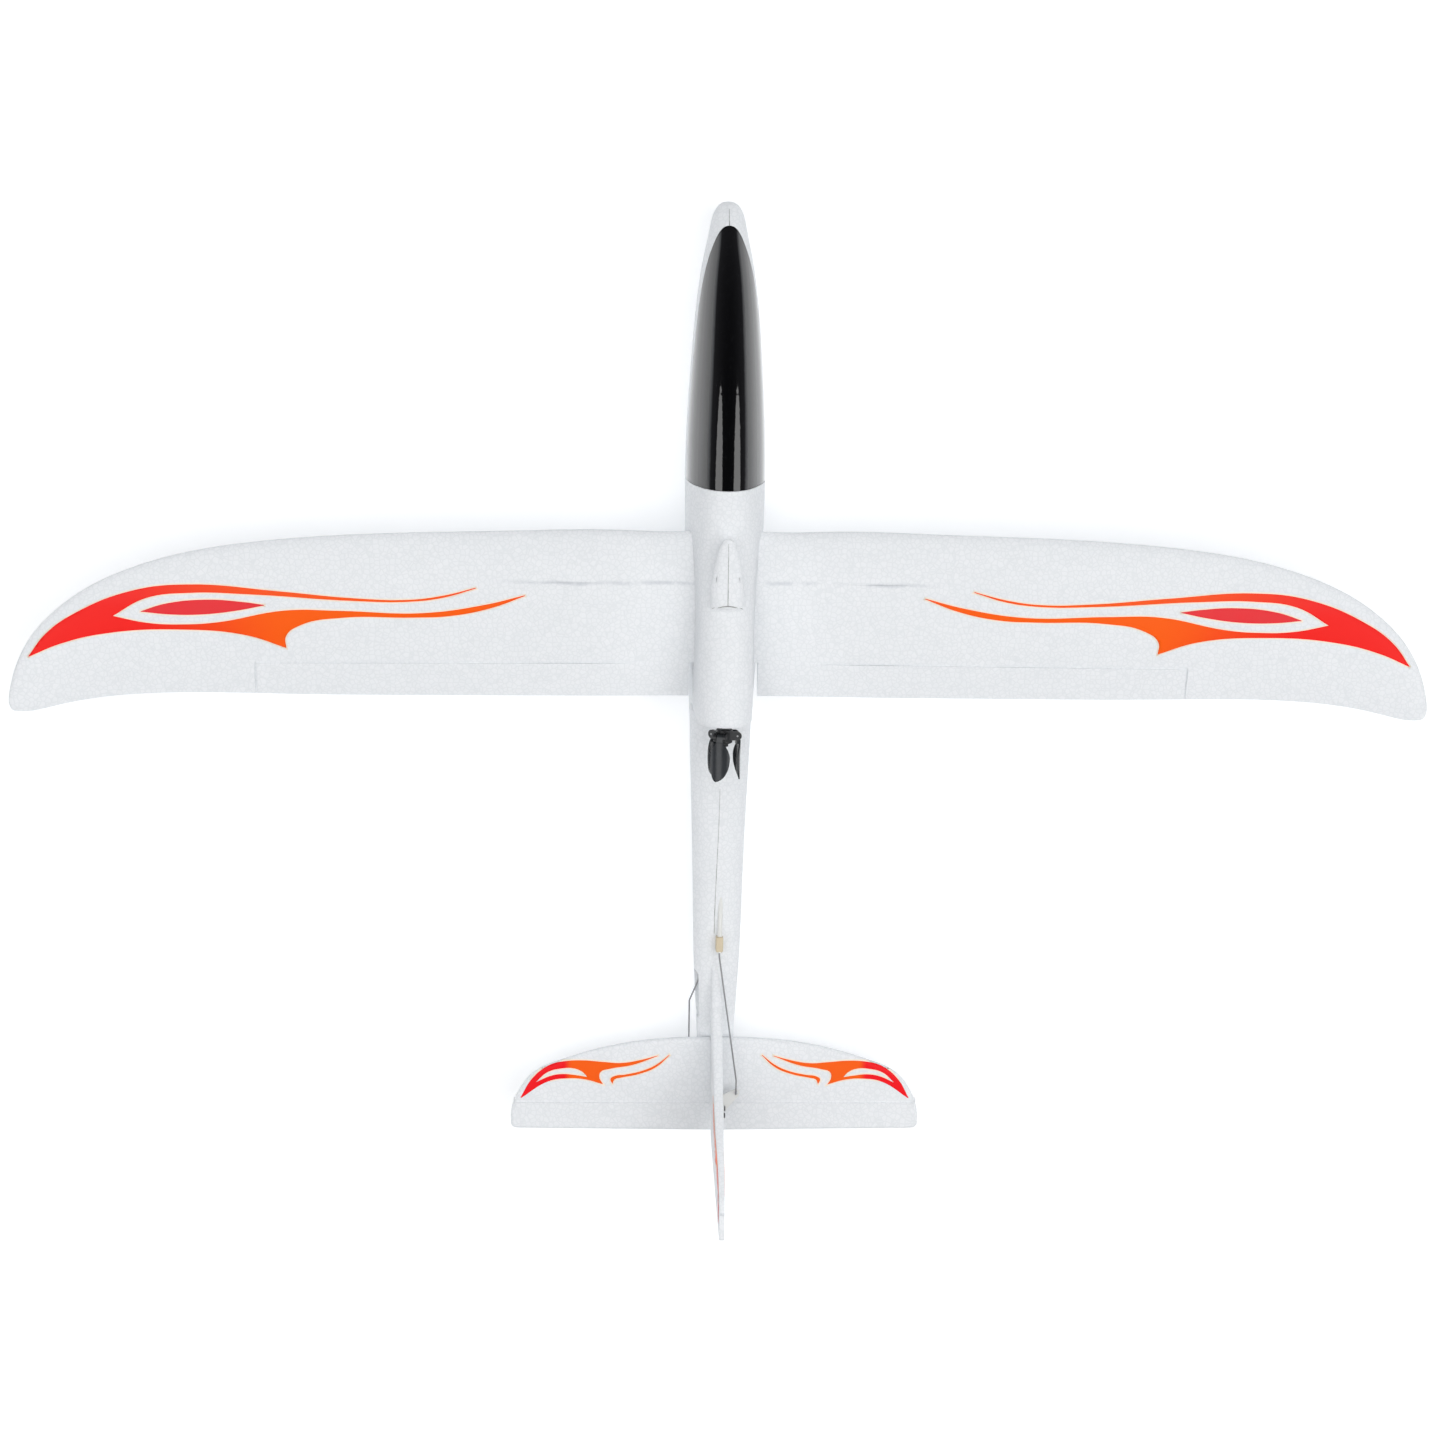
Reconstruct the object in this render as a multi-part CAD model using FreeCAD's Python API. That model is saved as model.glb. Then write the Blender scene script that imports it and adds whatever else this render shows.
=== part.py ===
"""Foam pusher motor glider, radio controlled on three channels: throttle, rudder and elevator.

Frame: millimetres, nose along +Y, starboard along +X, up along +Z. The origin is under the
middle of the model, on the surface that its flat belly rests on.
"""

import FreeCAD
import Part
import os
from math import cos, pi, sin, tan

V = FreeCAD.Vector

# ---- driving dimensions -------------------------------------------------------------------

FIN_TOP_Z = 131.5

WING_HALF_SPAN = 375.0
WING_ROOT_Z = 46.0
WING_DIHEDRAL = 0.035  # rise for each millimetre of span
WING_TIP_CURVE_X = 230.0  # the tips curl up outboard of here
WING_TIP_RISE = 16.0  # on top of the dihedral
WING_INCIDENCE = 0.033
WING_MID_Y = 46.0
WING_THICKNESS = 0.12
WING_CAMBER = 0.034
TRAILING_EDGE_THICKNESS = 1.1
AILERON_LINE_Y = 27.0
AILERON_LINE_X = 248.0
SPAR_Y = 71.0
SPAR_Z = 51.5
SPAR_RADIUS = 2.0
SPAR_HALF_LENGTH = 115.0
PEG_Y = 40.0
PEG_Z = 49.0
PEG_RADIUS = 1.5

POD_Z = 67.0
POD_REAR_Y = -2.5
VENT_Y = 62.0

CANOPY_THICKNESS = 1.2
CANOPY_REAR_Y = 119.0
CANOPY_SILL = ((-5.0, 37.5), (139.0, 32.0))  # (forward of CANOPY_REAR_Y, z) at the rear and front
CANOPY_GAP = 0.3
TONGUE_MOUTH_Y = 256.0  # the foam over the canopy's tongue starts here

BAY_HALF_WIDTH = 14.0
BAY_FLOOR_Z = 6.0
BAY_REAR_Y = 62.0
BAY_FRONT_Y = 228.0
DECK_FRONT_Y = 131.0
DECK_Z = 33.0

MOTOR_RADIUS = 10.0
MOTOR_FRONT_Y = 27.5
MOTOR_REAR_Y = 1.0
SHAFT_RADIUS = 1.0
HUB_REAR_Y = -13.0
HUB_FRONT_Y = -5.5
BLADE_HINGE_Y = -9.0
BLADE_HINGE_R = 6.5
BLADE_LENGTH = 24.0
BLADE_SHEET_R = 8.0
BLADE_SHEET = 0.8
BLADE_PIN_RADIUS = 0.5
BLADE_ANGLES = (-20.0, 100.0, 220.0)

TAIL_Z = 36.0
TAIL_THICKNESS = 5.0
ELEVATOR_HINGE_Y = -222.5
HINGE_HALF_GAP = 0.8
HINGE_WEB = 0.6
WEB_CLEARANCE = 0.3
FIN_THICKNESS = 6.0
FIN_TIP_THICKNESS = 2.6
FIN_FRONT_Y = -167.0
RUDDER_HINGE_Y = -212.5  # at RUDDER_HINGE_Z
RUDDER_HINGE_Z = 44.0
RUDDER_HINGE_RAKE = 39.5 / 81.0  # aft for each millimetre up
RUDDER_FOOT_Z = 46.0

WIRE_RADIUS = 0.45
HORN_HOLE_RADIUS = 1.0
HORN_X = 11.0  # the rudder horn's hole, on its hinge line
HORN_Z = 47.6
RUDDER_HORN_SCREWS = (7.8, 11.9)  # aft of the hole
ELEVATOR_HORN_SCREWS = (5.0, 10.0)
ELEVATOR_HORN_X = -17.0
ELEVATOR_HORN_Z = 27.0
TUBE_RADIUS = 1.3
TUBE_BORE = 0.9
LINK_Z = 32.2
SERVO_X = 9.5
SERVO_SHAFT_Y = 100.0
SERVO_ARM_REACH = 6.5
SERVO_BASE_Z = 10.0
SERVO_TOP_Z = 28.0
SERVO_EAR_Z = 21.5
SERVO_SCREW_Y = (88.6, 111.4)
LEAD_RADIUS = 0.7

# Stations of the pod fuselage, nose to motor: y, half width, bottom z, z of the widest line,
# top z, and where the side turns into the crown (x, z, lean inboard), or None for an oval
FUSELAGE = (
    (268.9, 1.0, 16.6, 18.3, 20.0, None),
    (267.4, 4.8, 13.2, 18.2, 23.8, None),
    (263.0, 7.8, 9.4, 18.2, 28.0, None),
    (254.0, 10.0, 5.8, 18.6, 34.0, None),
    (240.0, 12.9, 2.6, 19.5, 42.0, None),
    (217.0, 16.2, 0.2, 21.0, 51.0, None),
    (187.0, 18.7, -1.0, 22.5, 58.5, None),
    (150.0, 20.8, -1.0, 24.0, 63.8, None),
    (118.0, 21.3, -1.0, 26.0, 66.4, None),
    (96.0, 20.9, -1.0, 27.0, 68.8, (16.0, 56.0, 0.42)),
    (78.0, 20.4, -1.0, 28.0, 73.0, (15.4, 61.0, 0.22)),
    (58.0, 19.7, -0.9, 28.0, 78.0, (14.8, 64.5, 0.06)),
    (32.0, 18.5, -0.4, 26.5, 81.0, (14.8, 66.5, 0.0)),
    (12.0, 17.7, 0.6, 24.5, 81.7, (14.8, 67.0, 0.0)),
    (1.5, 17.25, 1.4, 23.0, 81.6, (14.6, 67.0, 0.0)),
    (-1.5, 17.15, 1.7, 22.6, 81.2, (14.2, 67.0, 0.0)),
    (-2.5, 17.1, 1.8, 22.5, 80.4, (13.4, 67.0, 0.0)),
)
BOOM = (
    (-2.5, 17.1, 1.8, 22.5, 34.3, (15.2, 31.0, 0.9)),
    (-16.0, 16.5, 2.9, 21.0, 34.0, (13.6, 30.6, 1.0)),
    (-50.0, 15.3, 5.4, 20.5, 33.8, None),
    (-100.0, 13.7, 9.2, 21.5, 33.8, None),
    (-150.0, 12.2, 13.4, 23.5, 33.8, None),
    (-195.0, 10.0, 18.0, 26.0, 34.2, None),
    (-215.0, 8.4, 20.4, 27.5, 34.0, None),
    (-221.0, 6.2, 22.6, 28.0, 32.6, None),
)
BOOM_TOP_Z = 34.3

# Wing planform, root to tip: x, leading edge y, trailing edge y
WING = (
    (10.0, 98.5, 8.0),
    (60.0, 98.2, 8.0),
    (110.0, 97.5, 8.1),
    (160.0, 96.4, 8.3),
    (205.0, 94.6, 8.6),
    (245.0, 91.4, 9.4),
    (280.0, 86.4, 10.3),
    (310.0, 78.4, 10.0),
    (334.0, 67.8, 8.1),
    (352.0, 54.8, 4.9),
    (364.0, 41.0, 2.6),
    (371.0, 27.0, 2.8),
    (374.2, 15.4, 4.8),
    (375.0, 10.6, 7.4),
)
AEROFOIL_POINTS = 12  # from the nose to the trailing edge, on each side


# ---- small shape tools --------------------------------------------------------------------


def box(x0, x1, y0, y1, z0, z1):
    return Part.makeBox(x1 - x0, y1 - y0, z1 - z0, V(x0, y0, z0))


def mirrored(shape):
    return shape.mirror(V(0, 0, 0), V(1, 0, 0))


def cut_all(shape, *tools):
    for tool in tools:
        shape = shape.cut(tool)
    return shape


def fuse_all(shape, *others):
    for other in others:
        shape = shape.fuse(other)
    return shape.removeSplitter()


def line(a, b):
    return Part.LineSegment(a, b).toShape()


def bezier(*poles):
    curve = Part.BezierCurve()
    curve.setPoles(list(poles))
    return curve.toShape()


def spline(points):
    curve = Part.BSplineCurve()
    curve.interpolate(list(points))
    return curve.toShape()


def prism(edges, direction):
    return Part.Face(Part.Wire(edges)).extrude(direction)


def edges_along(shape, axis, test):
    """The straight edges parallel to an axis whose middle passes the test."""
    found = []
    for edge in shape.Edges:
        ends = [v.Point for v in edge.Vertexes]
        if len(ends) != 2:
            continue
        run = ends[1] - ends[0]
        if run.Length > 1e-6 and abs(run.normalize().dot(axis)) > 0.999:
            if test((ends[0] + ends[1]) * 0.5):
                found.append(edge)
    return found


def soft_box(x0, x1, y0, y1, z0, z1, radius):
    block = box(x0, x1, y0, y1, z0, z1)
    return block.makeFillet(radius, block.Edges)


def route(points, note):
    """Straight runs joined by tangent arcs, each as large as its two runs allow."""
    points = [V(*p) for p in points]
    edges = []
    start = points[0]
    radii = []
    for before, corner, after in zip(points, points[1:], points[2:]):
        into = corner - before
        out = after - corner
        reach = 0.45 * min(into.Length, out.Length)
        into.normalize()
        out.normalize()
        half_turn = into.getAngle(out) / 2
        radii.append(reach / tan(half_turn))
        first = corner - into * reach
        last = corner + out * reach
        chord_mid = (first + last) * 0.5
        toward = (corner - chord_mid).normalize()
        middle = chord_mid + toward * radii[-1] * (1 - cos(half_turn))
        edges.append(line(start, first))
        edges.append(Part.Arc(first, middle, last).toShape())
        start = last
    edges.append(line(start, points[-1]))
    print(note, "bend radii", [round(r, 1) for r in radii])
    return Part.Wire(edges)


def tube(path, radius):
    start = path.Edges[0]
    along = (start.Vertexes[1].Point - start.Vertexes[0].Point).normalize()
    ring = Part.Wire(Part.Circle(start.Vertexes[0].Point, along, radius).toShape())
    solid = path.makePipeShell([ring], True, False)
    expected = pi * radius**2 * path.Length
    print("  tube volume over section times length", round(solid.Volume / expected, 4))
    return solid


# ---- fuselage surfaces --------------------------------------------------------------------


def body_side(station, inset):
    """Outline of the starboard side at one station: keel, shoulder and crown."""
    y, half_width, bottom, widest, top, turn = station
    w = half_width - inset
    lo = bottom + inset
    hi = top - inset
    if turn is None:
        rise = hi - widest
        turn = (w * 0.74, widest + rise * 0.70, w / rise)
    turn_x, turn_z, lean = turn
    below = (turn_z - widest) * 0.38
    above = (hi - turn_z) * 0.52
    keel = bezier(
        V(0, y, lo),
        V(w * 0.68, y, lo),
        V(w, y, widest - (widest - lo) * 0.6),
        V(w, y, widest),
    )
    shoulder = bezier(
        V(w, y, widest),
        V(w, y, widest + below),
        V(turn_x + lean * below, y, turn_z - below),
        V(turn_x, y, turn_z),
    )
    crown = bezier(
        V(turn_x, y, turn_z),
        V(turn_x - lean * above, y, turn_z + above),
        V(turn_x * 0.5, y, hi),
        V(0, y, hi),
    )
    return [keel, shoulder, crown]


def body_loft(stations, inset=0.0):
    """Closed body through whole sections, both sides, shrunk by inset."""
    wires = []
    for station in stations:
        side = body_side(station, inset)
        wires.append(Part.Wire(side + [mirrored(edge) for edge in reversed(side)]))
    return Part.makeLoft(wires, True, False)


def pod_relief():
    """What is cut from under the pod's overhang, so that the propeller swings clear."""
    y = POD_REAR_Y
    outline = [
        line(V(-40, y - 2, 54), V(-40, -60, 54)),
        line(V(-40, -60, 54), V(-40, -60, BOOM_TOP_Z)),
        line(V(-40, -60, BOOM_TOP_Z), V(-40, y - 1, BOOM_TOP_Z)),
        bezier(V(-40, y - 1, BOOM_TOP_Z), V(-40, 5, BOOM_TOP_Z), V(-40, 5, 46), V(-40, y - 2, 54)),
    ]
    return prism(outline, V(80, 0, 0))


def vent_blister():
    """Teardrop scoop on top of the pod, with its open step facing aft."""
    length = 36.0
    half_width = 9.0
    height = 5.4
    ball = Part.makeSphere(1.0)
    stretch = FreeCAD.Matrix()
    stretch.scale(half_width, length, height)
    drop = ball.transformGeometry(stretch)
    drop.translate(V(0, VENT_Y, 76.4))
    return drop.common(box(-20, 20, VENT_Y, VENT_Y + 60, 60, 90))


def vent_duct():
    mouth = box(-6.2, 6.2, VENT_Y - 1, VENT_Y + 16, 78.0, 79.8)
    throat = box(-4, 4, VENT_Y + 14, VENT_Y + 20, 34, 79.8)
    return mouth.fuse(throat)


def canopy_region(drop):
    """Everything above the sill, from the canopy's rear edge to its front tip."""
    (rear_y, rear_z), (front_y, front_z) = CANOPY_SILL
    y = CANOPY_REAR_Y
    corners = [
        V(-40, y - drop, 95),
        V(-40, y - rear_y - drop, rear_z - drop),
        V(-40, y + front_y, front_z - drop),
        V(-40, y + front_y + 20, front_z - drop),
        V(-40, y + front_y + 20, 95),
    ]
    return Part.Face(Part.makePolygon(corners + corners[:1])).extrude(V(80, 0, 0))


def equipment_bay():
    """The long bay: battery in front, servos behind, open on top under the canopy."""
    w = BAY_HALF_WIDTH
    middle = box(-w, w, BAY_REAR_Y, 206.5, BAY_FLOOR_Z, DECK_Z)
    floor_edges = edges_along(middle, V(0, 1, 0), lambda p: p.z < BAY_FLOOR_Z + 0.1)
    middle = middle.makeFillet(3.0, floor_edges)
    rear = box(-w, w, BAY_REAR_Y, 119, DECK_Z - 2, 36)
    hatch = box(-w, w, DECK_FRONT_Y, 200, DECK_Z - 2, 50)
    nose = box(-10.5, 10.5, 196, BAY_FRONT_Y, 9, 50)
    nose_edges = edges_along(nose, V(0, 0, 1), lambda p: p.y > BAY_FRONT_Y - 1)
    nose = nose.makeFillet(6.0, nose_edges)
    return fuse_all(middle, rear, hatch, nose)


def motor_bay():
    room = Part.makeCylinder(MOTOR_RADIUS + 0.4, 41, V(0, -4, POD_Z), V(0, 1, 0))
    rim = Part.makeCylinder(12.4, 6, V(0, -5, POD_Z), V(0, 1, 0))
    lead_way = Part.makeCylinder(5.0, 56, V(0, 70, 27), V(0, -30, 37))
    return fuse_all(room, rim, lead_way)


def spar_bore():
    start = V(-SPAR_HALF_LENGTH, SPAR_Y, SPAR_Z)
    return Part.makeCylinder(SPAR_RADIUS, 2 * SPAR_HALF_LENGTH, start, V(1, 0, 0))


def peg(x0):
    return Part.makeCylinder(PEG_RADIUS, 26, V(x0, PEG_Y, PEG_Z), V(1, 0, 0))


def fin_fillet():
    """Dorsal fillet moulded on the boom in front of the fin."""
    edges = [
        bezier(V(0, -139, 33), V(0, -149, 35.5), V(0, -158, 38), V(0, FIN_FRONT_Y, 43)),
        line(V(0, FIN_FRONT_Y, 43), V(0, FIN_FRONT_Y, 30)),
        line(V(0, FIN_FRONT_Y, 30), V(0, -139, 30)),
        line(V(0, -139, 30), V(0, -139, 33)),
    ]
    blade = prism(edges, V(FIN_THICKNESS, 0, 0))
    blade.translate(V(-FIN_THICKNESS / 2, 0, 0))
    crest = []
    for edge in blade.Edges:
        middle = edge.CenterOfMass
        if abs(middle.x) > 2.9 and middle.z > 34 and edge.Length > 20:
            crest.append(edge)
    return blade.makeFillet(2.2, crest)


def elevator_slot():
    """Port side slot in the boom that the elevator rod comes out of."""
    slot = box(-20, -6.5, -177, -150, 23.8, 29.8)
    ends = edges_along(slot, V(1, 0, 0), lambda p: True)
    return slot.makeFillet(2.4, ends)


def tongue_pocket():
    """Pocket in the nose foam for the canopy's tongue, open on top behind the canopy's tip."""
    under = box(-3.2, 3.2, 250, 259.5, 24.8, 29.3)
    mouth = box(-3.2, 3.2, 244, TONGUE_MOUTH_Y, 24.8, 36.0)
    return under.fuse(mouth)


def magnet(x, z):
    return Part.makeCylinder(3.0, 2.0, V(x, 125, z))


# ---- foam ---------------------------------------------------------------------------------


def outer_body():
    """Fuselage, motor pod, boom, scoop and fin fillet in one, before anything is cut from it."""
    front = body_loft(FUSELAGE).cut(pod_relief())
    return fuse_all(front, body_loft(BOOM), vent_blister(), fin_fillet())


def fuselage_block(tubes):
    """Both halves together, with every bay, bore and seat."""
    body = outer_body().cut(box(-60, 60, -300, 300, -20, 0))
    body = cut_all(body, canopy_region(CANOPY_GAP), equipment_bay())
    body = cut_all(body, motor_bay(), vent_duct(), spar_bore(), peg(12.5), peg(-38.5))
    body = cut_all(body, tongue_pocket(), magnet(8, DECK_Z + 1.9), magnet(-8, DECK_Z + 1.9))
    body = cut_all(body, tail_seat(), elevator_slot(), *tubes)
    return cut_all(body, tail_screw(4.5), tail_screw(-4.5))


def wing_z(x):
    curl = max(0.0, (abs(x) - WING_TIP_CURVE_X) / (WING_HALF_SPAN - WING_TIP_CURVE_X))
    return WING_ROOT_Z + WING_DIHEDRAL * abs(x) + WING_TIP_RISE * curl**2


def wing_edges(x):
    """Leading and trailing edge at x, between the planform stations."""
    for (xa, la, ta), (xb, lb, tb) in zip(WING, WING[1:]):
        if xa <= x <= xb:
            share = (x - xa) / (xb - xa)
            return la + (lb - la) * share, ta + (tb - ta) * share
    raise ValueError(x)


def aerofoil(fraction):
    """Camber line and half thickness, as parts of the chord."""
    f = fraction
    shape = 0.2969 * f**0.5 - 0.1260 * f - 0.3516 * f**2 + 0.2843 * f**3 - 0.1036 * f**4
    camber = WING_CAMBER * (1 - ((f - 0.4) / (0.4 if f < 0.4 else 0.6)) ** 2)
    return camber, 5 * WING_THICKNESS * shape


def wing_surface(x, y, upper, edges=None):
    lead, trail = edges or wing_edges(x)
    chord = lead - trail
    fraction = (lead - y) / chord
    camber, half = aerofoil(min(max(fraction, 0.0), 1.0))
    edge = TRAILING_EDGE_THICKNESS / 2 * fraction * min(1.0, chord / 30)
    height = camber * chord + (half * chord + edge) * (1 if upper else -1)
    return wing_z(x) + WING_INCIDENCE * (y - WING_MID_Y) + height


def wing_section(x, lead, trail):
    fractions = [(1 - cos(pi * i / AEROFOIL_POINTS)) / 2 for i in range(AEROFOIL_POINTS + 1)]
    ys = [lead - f * (lead - trail) for f in fractions]
    upper = [V(x, y, wing_surface(x, y, True, (lead, trail))) for y in ys]
    lower = [V(x, y, wing_surface(x, y, False, (lead, trail))) for y in ys]
    skin = spline(upper[::-1] + lower[1:])
    return Part.Wire([skin, line(lower[-1], upper[-1])])


def surface_groove(points, across, depth, width):
    """Groove of a set depth below a line of points on a surface."""
    floor = [p - V(0, 0, depth) for p in points]
    top_z = 120
    edges = [
        spline(floor),
        line(floor[-1], V(floor[-1].x, floor[-1].y, top_z)),
        line(V(floor[-1].x, floor[-1].y, top_z), V(floor[0].x, floor[0].y, top_z)),
        line(V(floor[0].x, floor[0].y, top_z), floor[0]),
    ]
    wall = prism(edges, across * width)
    wall.translate(across * (-width / 2))
    return wall


def aileron_lines():
    """Moulded outline of a dummy aileron, and the faint line over the spar slot."""
    spanwise = [16 + (AILERON_LINE_X - 16) * i / 8 for i in range(9)]
    hinge = [V(x, AILERON_LINE_Y, wing_surface(x, AILERON_LINE_Y, True)) for x in spanwise]
    chordwise = [AILERON_LINE_Y - 19 * i / 3 for i in range(4)]
    end = [V(AILERON_LINE_X, y, wing_surface(AILERON_LINE_X, y, True)) for y in chordwise]
    spar_x = [30 + 100 * i / 4 for i in range(5)]
    spar = [V(x, SPAR_Y, wing_surface(x, SPAR_Y, True)) for x in spar_x]
    return [
        surface_groove(hinge, V(0, 1, 0), 0.9, 1.1),
        surface_groove(end, V(1, 0, 0), 0.9, 1.1),
        surface_groove(spar, V(0, 1, 0), 0.3, 0.5),
    ]


def wing(side, body):
    panel = Part.makeLoft([wing_section(*station) for station in WING], True, False)
    root_slot = box(12, 18.4, -5, AILERON_LINE_Y, 30, 65).cut(box(12, 16.4, -5, 40, 30, 65))
    panel = cut_all(panel, root_slot, spar_bore(), peg(12.5), *aileron_lines())
    panel = panel.cut(body)
    panel = max(panel.Solids, key=lambda s: s.Volume)
    return mirrored(panel) if side < 0 else panel


# ---- tail ---------------------------------------------------------------------------------


def tail_plan(front_y, rear_y):
    """Tailplane and elevator share one outline, cut between two lines across it."""
    lead = [
        V(0, -186.4, 0),
        V(32, -187.0, 0),
        V(60, -191.5, 0),
        V(86, -199.3, 0),
        V(101, -206.8, 0),
        V(108.6, -217.0, 0),
        V(112.2, -226.5, 0),
        V(112.6, -234.0, 0),
    ]
    starboard = spline(lead)
    corner = bezier(V(112.6, -234, 0), V(112.8, -237, 0), V(111.5, -238, 0), V(108.5, -238.1, 0))
    rear = line(V(108.5, -238.1, 0), V(0, -239.3, 0))
    edges = [starboard, corner, rear, mirrored(rear), mirrored(corner), mirrored(starboard)]
    slab = prism(Part.sortEdges(edges)[0], V(0, 0, TAIL_THICKNESS))
    slab.translate(V(0, 0, TAIL_Z - TAIL_THICKNESS / 2))
    return slab.common(box(-130, 130, rear_y, front_y, 0, 80))


def rounded_rim(slab, radius, keep):
    rim = [e for e in slab.Edges if keep(e)]
    return slab.makeFillet(radius, rim)


def is_flat_edge(edge, lo, hi):
    z = [v.Point.z for v in edge.Vertexes]
    return max(z) - min(z) < 0.01 and (abs(z[0] - lo) < 0.01 or abs(z[0] - hi) < 0.01)


def tailplane(cutters):
    lo = TAIL_Z - TAIL_THICKNESS / 2
    hi = TAIL_Z + TAIL_THICKNESS / 2
    rear = ELEVATOR_HINGE_Y + HINGE_HALF_GAP
    slab = tail_plan(-150, rear)
    slab = rounded_rim(slab, 2.0, lambda e: is_flat_edge(e, lo, hi) and e.CenterOfMass.y > rear + 0.5)
    return cut_all(slab, *cutters)


def elevator():
    lo = TAIL_Z - TAIL_THICKNESS / 2
    hi = TAIL_Z + TAIL_THICKNESS / 2
    front = ELEVATOR_HINGE_Y - HINGE_HALF_GAP
    slab = tail_plan(front, -260)
    return rounded_rim(slab, 1.8, lambda e: is_flat_edge(e, lo, hi) and e.CenterOfMass.y < front - 0.5)


def tail_seat():
    """The tailplane's own block, cut from the boom that carries it."""
    low = TAIL_Z - TAIL_THICKNESS / 2
    return box(-40, 40, -260, -186.0, low, low + 30)


def tail_screw(x):
    shank = Part.makeCylinder(1.0, 14.0, V(x, -205, 23.6))
    head = Part.makeCone(1.0, 2.2, 1.6, V(x, -205, 23.6), V(0, 0, -1))
    way = Part.makeCylinder(2.2, 12.0, V(x, -205, 22.0), V(0, 0, -1))
    return fuse_all(shank, head, way)


def tail_screws():
    screws = []
    for x in (-4.5, 4.5):
        shank = Part.makeCylinder(1.0, 14.0, V(x, -205, 23.6))
        head = Part.makeCone(1.0, 2.2, 1.6, V(x, -205, 23.6), V(0, 0, -1))
        recess = box(x - 1.4, x + 1.4, -205.25, -204.75, 21.9, 22.7)
        cross = box(x - 0.25, x + 0.25, -206.4, -203.6, 21.9, 22.7)
        screws.append(fuse_all(shank, head).cut(recess.fuse(cross)))
    return Part.makeCompound(screws)


def hinge_y(z):
    return RUDDER_HINGE_Y - (z - RUDDER_HINGE_Z) * RUDDER_HINGE_RAKE


def tapered(plate):
    """The plate of the fin or rudder, thinned evenly from the tailplane up to the tip."""
    foot = FIN_THICKNESS / 2
    tip = FIN_TIP_THICKNESS / 2
    seat = TAIL_Z + TAIL_THICKNESS / 2
    corners = [
        V(-foot, -300, 20),
        V(foot, -300, 20),
        V(foot, -300, seat),
        V(tip, -300, FIN_TOP_Z + 1),
        V(-tip, -300, FIN_TOP_Z + 1),
        V(-foot, -300, seat),
    ]
    wedge = Part.Face(Part.makePolygon(corners + corners[:1])).extrude(V(0, 200, 0))
    return plate.common(wedge)


def fin():
    gap = HINGE_HALF_GAP * 1.11  # measured along Y, across the raked hinge
    top = FIN_TOP_Z
    lead = [V(0, FIN_FRONT_Y, 43), V(0, -190, 61), V(0, -220, 94.5), V(0, -244, 124)]
    peak = V(0, hinge_y(130) + gap, 130.2)
    crest = bezier(V(0, -244, 124), V(0, -246.6, 127.2), V(0, -248, top - 1.6), peak)
    seat = TAIL_Z + TAIL_THICKNESS / 2
    edges = [
        spline(lead),
        crest,
        line(peak, V(0, hinge_y(seat) + gap, seat)),
        line(V(0, hinge_y(seat) + gap, seat), V(0, -186, seat)),
        line(V(0, -186, seat), V(0, -186, 30)),
        line(V(0, -186, 30), V(0, FIN_FRONT_Y, 30)),
        line(V(0, FIN_FRONT_Y, 30), V(0, FIN_FRONT_Y, 43)),
    ]
    plate = prism(edges, V(FIN_THICKNESS, 0, 0))
    plate.translate(V(-FIN_THICKNESS / 2, 0, 0))

    def outer(edge):
        middle = edge.CenterOfMass
        flat = abs(abs(middle.x) - FIN_THICKNESS / 2) < 0.01
        behind = middle.y < hinge_y(middle.z) + 2
        return flat and middle.z > 44 and not behind and edge.Length > 2

    return tapered(plate.makeFillet(2.2, [e for e in plate.Edges if outer(e)]))


def rudder():
    gap = HINGE_HALF_GAP * 1.11
    foot = RUDDER_FOOT_Z
    front_foot = V(0, hinge_y(foot) - gap, foot)
    front_top = V(0, hinge_y(130) - gap, 130.4)
    edges = [
        line(front_foot, front_top),
        bezier(front_top, V(0, -259, 131), V(0, -262.5, FIN_TOP_Z), V(0, -265.5, FIN_TOP_Z)),
        bezier(V(0, -265.5, FIN_TOP_Z), V(0, -268.5, FIN_TOP_Z), V(0, -269.67, 130.25), V(0, -268.7, 127.5)),
        bezier(V(0, -268.7, 127.5), V(0, -259, 100), V(0, -250, 78), V(0, -241.3, 54)),
        bezier(V(0, -241.3, 54), V(0, -240.43, 51.6), V(0, -239.26, 50.18), V(0, -237, 49.8)),
        line(V(0, -237, 49.8), front_foot),
    ]
    plate = prism(edges, V(FIN_THICKNESS, 0, 0))
    plate.translate(V(-FIN_THICKNESS / 2, 0, 0))

    def outer(edge):
        middle = edge.CenterOfMass
        flat = abs(abs(middle.x) - FIN_THICKNESS / 2) < 0.01
        return flat and middle.y < hinge_y(middle.z) - 3

    blade = tapered(plate.makeFillet(2.0, [e for e in plate.Edges if outer(e)]))
    return blade.cut(rudder_horn_foot())


def rudder_web():
    """Thin strip of foam that the rudder bends on."""
    half = HINGE_WEB / 2
    gap = HINGE_HALF_GAP * 1.11
    corners = []
    for z, y_off in ((48, gap), (129, gap), (129, WEB_CLEARANCE - gap), (48, WEB_CLEARANCE - gap)):
        corners.append(V(-half, hinge_y(z) + y_off, z))
    return Part.Face(Part.makePolygon(corners + corners[:1])).extrude(V(HINGE_WEB, 0, 0))


def elevator_web():
    half = HINGE_WEB / 2
    front = ELEVATOR_HINGE_Y + HINGE_HALF_GAP
    rear = ELEVATOR_HINGE_Y - HINGE_HALF_GAP + WEB_CLEARANCE
    return box(-108, 108, rear, front, TAIL_Z - half, TAIL_Z + half)


# ---- canopy -------------------------------------------------------------------------------


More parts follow.
